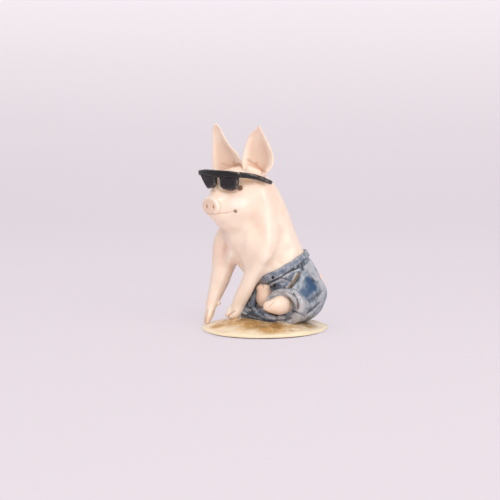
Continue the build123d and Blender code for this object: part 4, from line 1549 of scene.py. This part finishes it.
def makeSweep():
    bend, start = stageSizes["bend"], stageSizes["back"] - stageSizes["bend"]
    profile = [(-stageSizes["near"], 0.0), (start, 0.0)]
    for k in range(1, 25):
        a = math.pi / 2 * k / 24
        profile.append((start + bend * math.sin(a), bend * (1 - math.cos(a))))
    profile.append((stageSizes["back"], stageSizes["top"]))
    az = math.radians(camera["azimuth"])
    far, across = np.array([-math.sin(az), math.cos(az)]), np.array([math.cos(az), math.sin(az)])
    points = [(*(far * d + across * s * stageSizes["half"]), h) for d, h in profile for s in (-1, 1)]
    faces = [(2 * i, 2 * i + 1, 2 * i + 3, 2 * i + 2) for i in range(len(profile) - 1)]
    mesh = bpy.data.meshes.new("sweep")
    mesh.from_pydata(points, [], faces)
    mesh.polygons.foreach_set("use_smooth", [True] * len(faces))
    sweep = bpy.data.objects.new("sweep", mesh)
    scene.collection.objects.link(sweep)
    material, tree, bsdf = newMaterial("sweep_paper")
    coord, split = tree.nodes.new("ShaderNodeTexCoord"), tree.nodes.new("ShaderNodeSeparateXYZ")
    link(tree, coord.outputs["Object"], split.inputs["Vector"])
    paler = rangeNode(tree, split.outputs["Z"], 0.0, 0.22)
    tone = layer(tree, srgb(232, 223, 230), srgb(252, 244, 249), paler)
    link(tree, tone, bsdf.inputs["Base Color"])
    bsdf.inputs["Roughness"].default_value = 0.9
    # the camera, gloss and glass see the paper's own colour, so that it stays pale
    kinds = ("Emission", "MixShader", "LightPath", "Math", "Math")
    glow, mix, path, total, more = (tree.nodes.new("ShaderNode" + kind) for kind in kinds)
    link(tree, tone, glow.inputs["Color"])
    total.operation = more.operation = "ADD"
    total.use_clamp = True
    link(tree, path.outputs["Is Camera Ray"], total.inputs[0])
    link(tree, path.outputs["Is Glossy Ray"], more.inputs[0])
    link(tree, path.outputs["Is Transmission Ray"], more.inputs[1])
    link(tree, more.outputs[0], total.inputs[1])
    shown = times(tree, total.outputs[0], rangeNode(tree, split.outputs["Z"], 0.0, 0.3, 0.7, 0.96))
    link(tree, shown, mix.inputs["Fac"])
    link(tree, bsdf.outputs["BSDF"], mix.inputs[1])
    link(tree, glow.outputs["Emission"], mix.inputs[2])
    link(tree, mix.outputs["Shader"], tree.nodes["Material Output"].inputs["Surface"])
    mesh.materials.append(material)


makeSweep()
lampColour = (1.0, 0.975, 0.93)
aim = Vector((0, 0, 0.035))
lamps = {
    "key": {"at": (0.5, 0.16, 0.5), "size": 0.45, "power": 1.6},
    "fill": {"at": (0.35, -0.45, 0.3), "size": 0.6, "power": 0.9},
    "front": {"at": (0.62, -0.05, 0.12), "size": 0.4, "power": 0.65},
    "side": {"at": (0.35, 0.55, 0.2), "size": 0.5, "power": 0.6},
    "top": {"at": (-0.05, 0, 0.8), "size": 0.8, "power": 2.2},
}
for name, spec in lamps.items():
    lamp = bpy.data.lights.new(name, "AREA")
    lamp.size = spec["size"]
    lamp.energy = spec["power"]
    lamp.color = lampColour
    holder = bpy.data.objects.new(name, lamp)
    holder.location = spec["at"]
    holder.rotation_euler = (aim - holder.location).to_track_quat("-Z", "Y").to_euler()
    scene.collection.objects.link(holder)
world = bpy.data.worlds.new("studio")
scene.world = world
world.use_nodes = True
sky = world.node_tree.nodes["Background"]
fill(sky, Color=srgb(246, 240, 246), Strength=0.42)
print("stage lit")
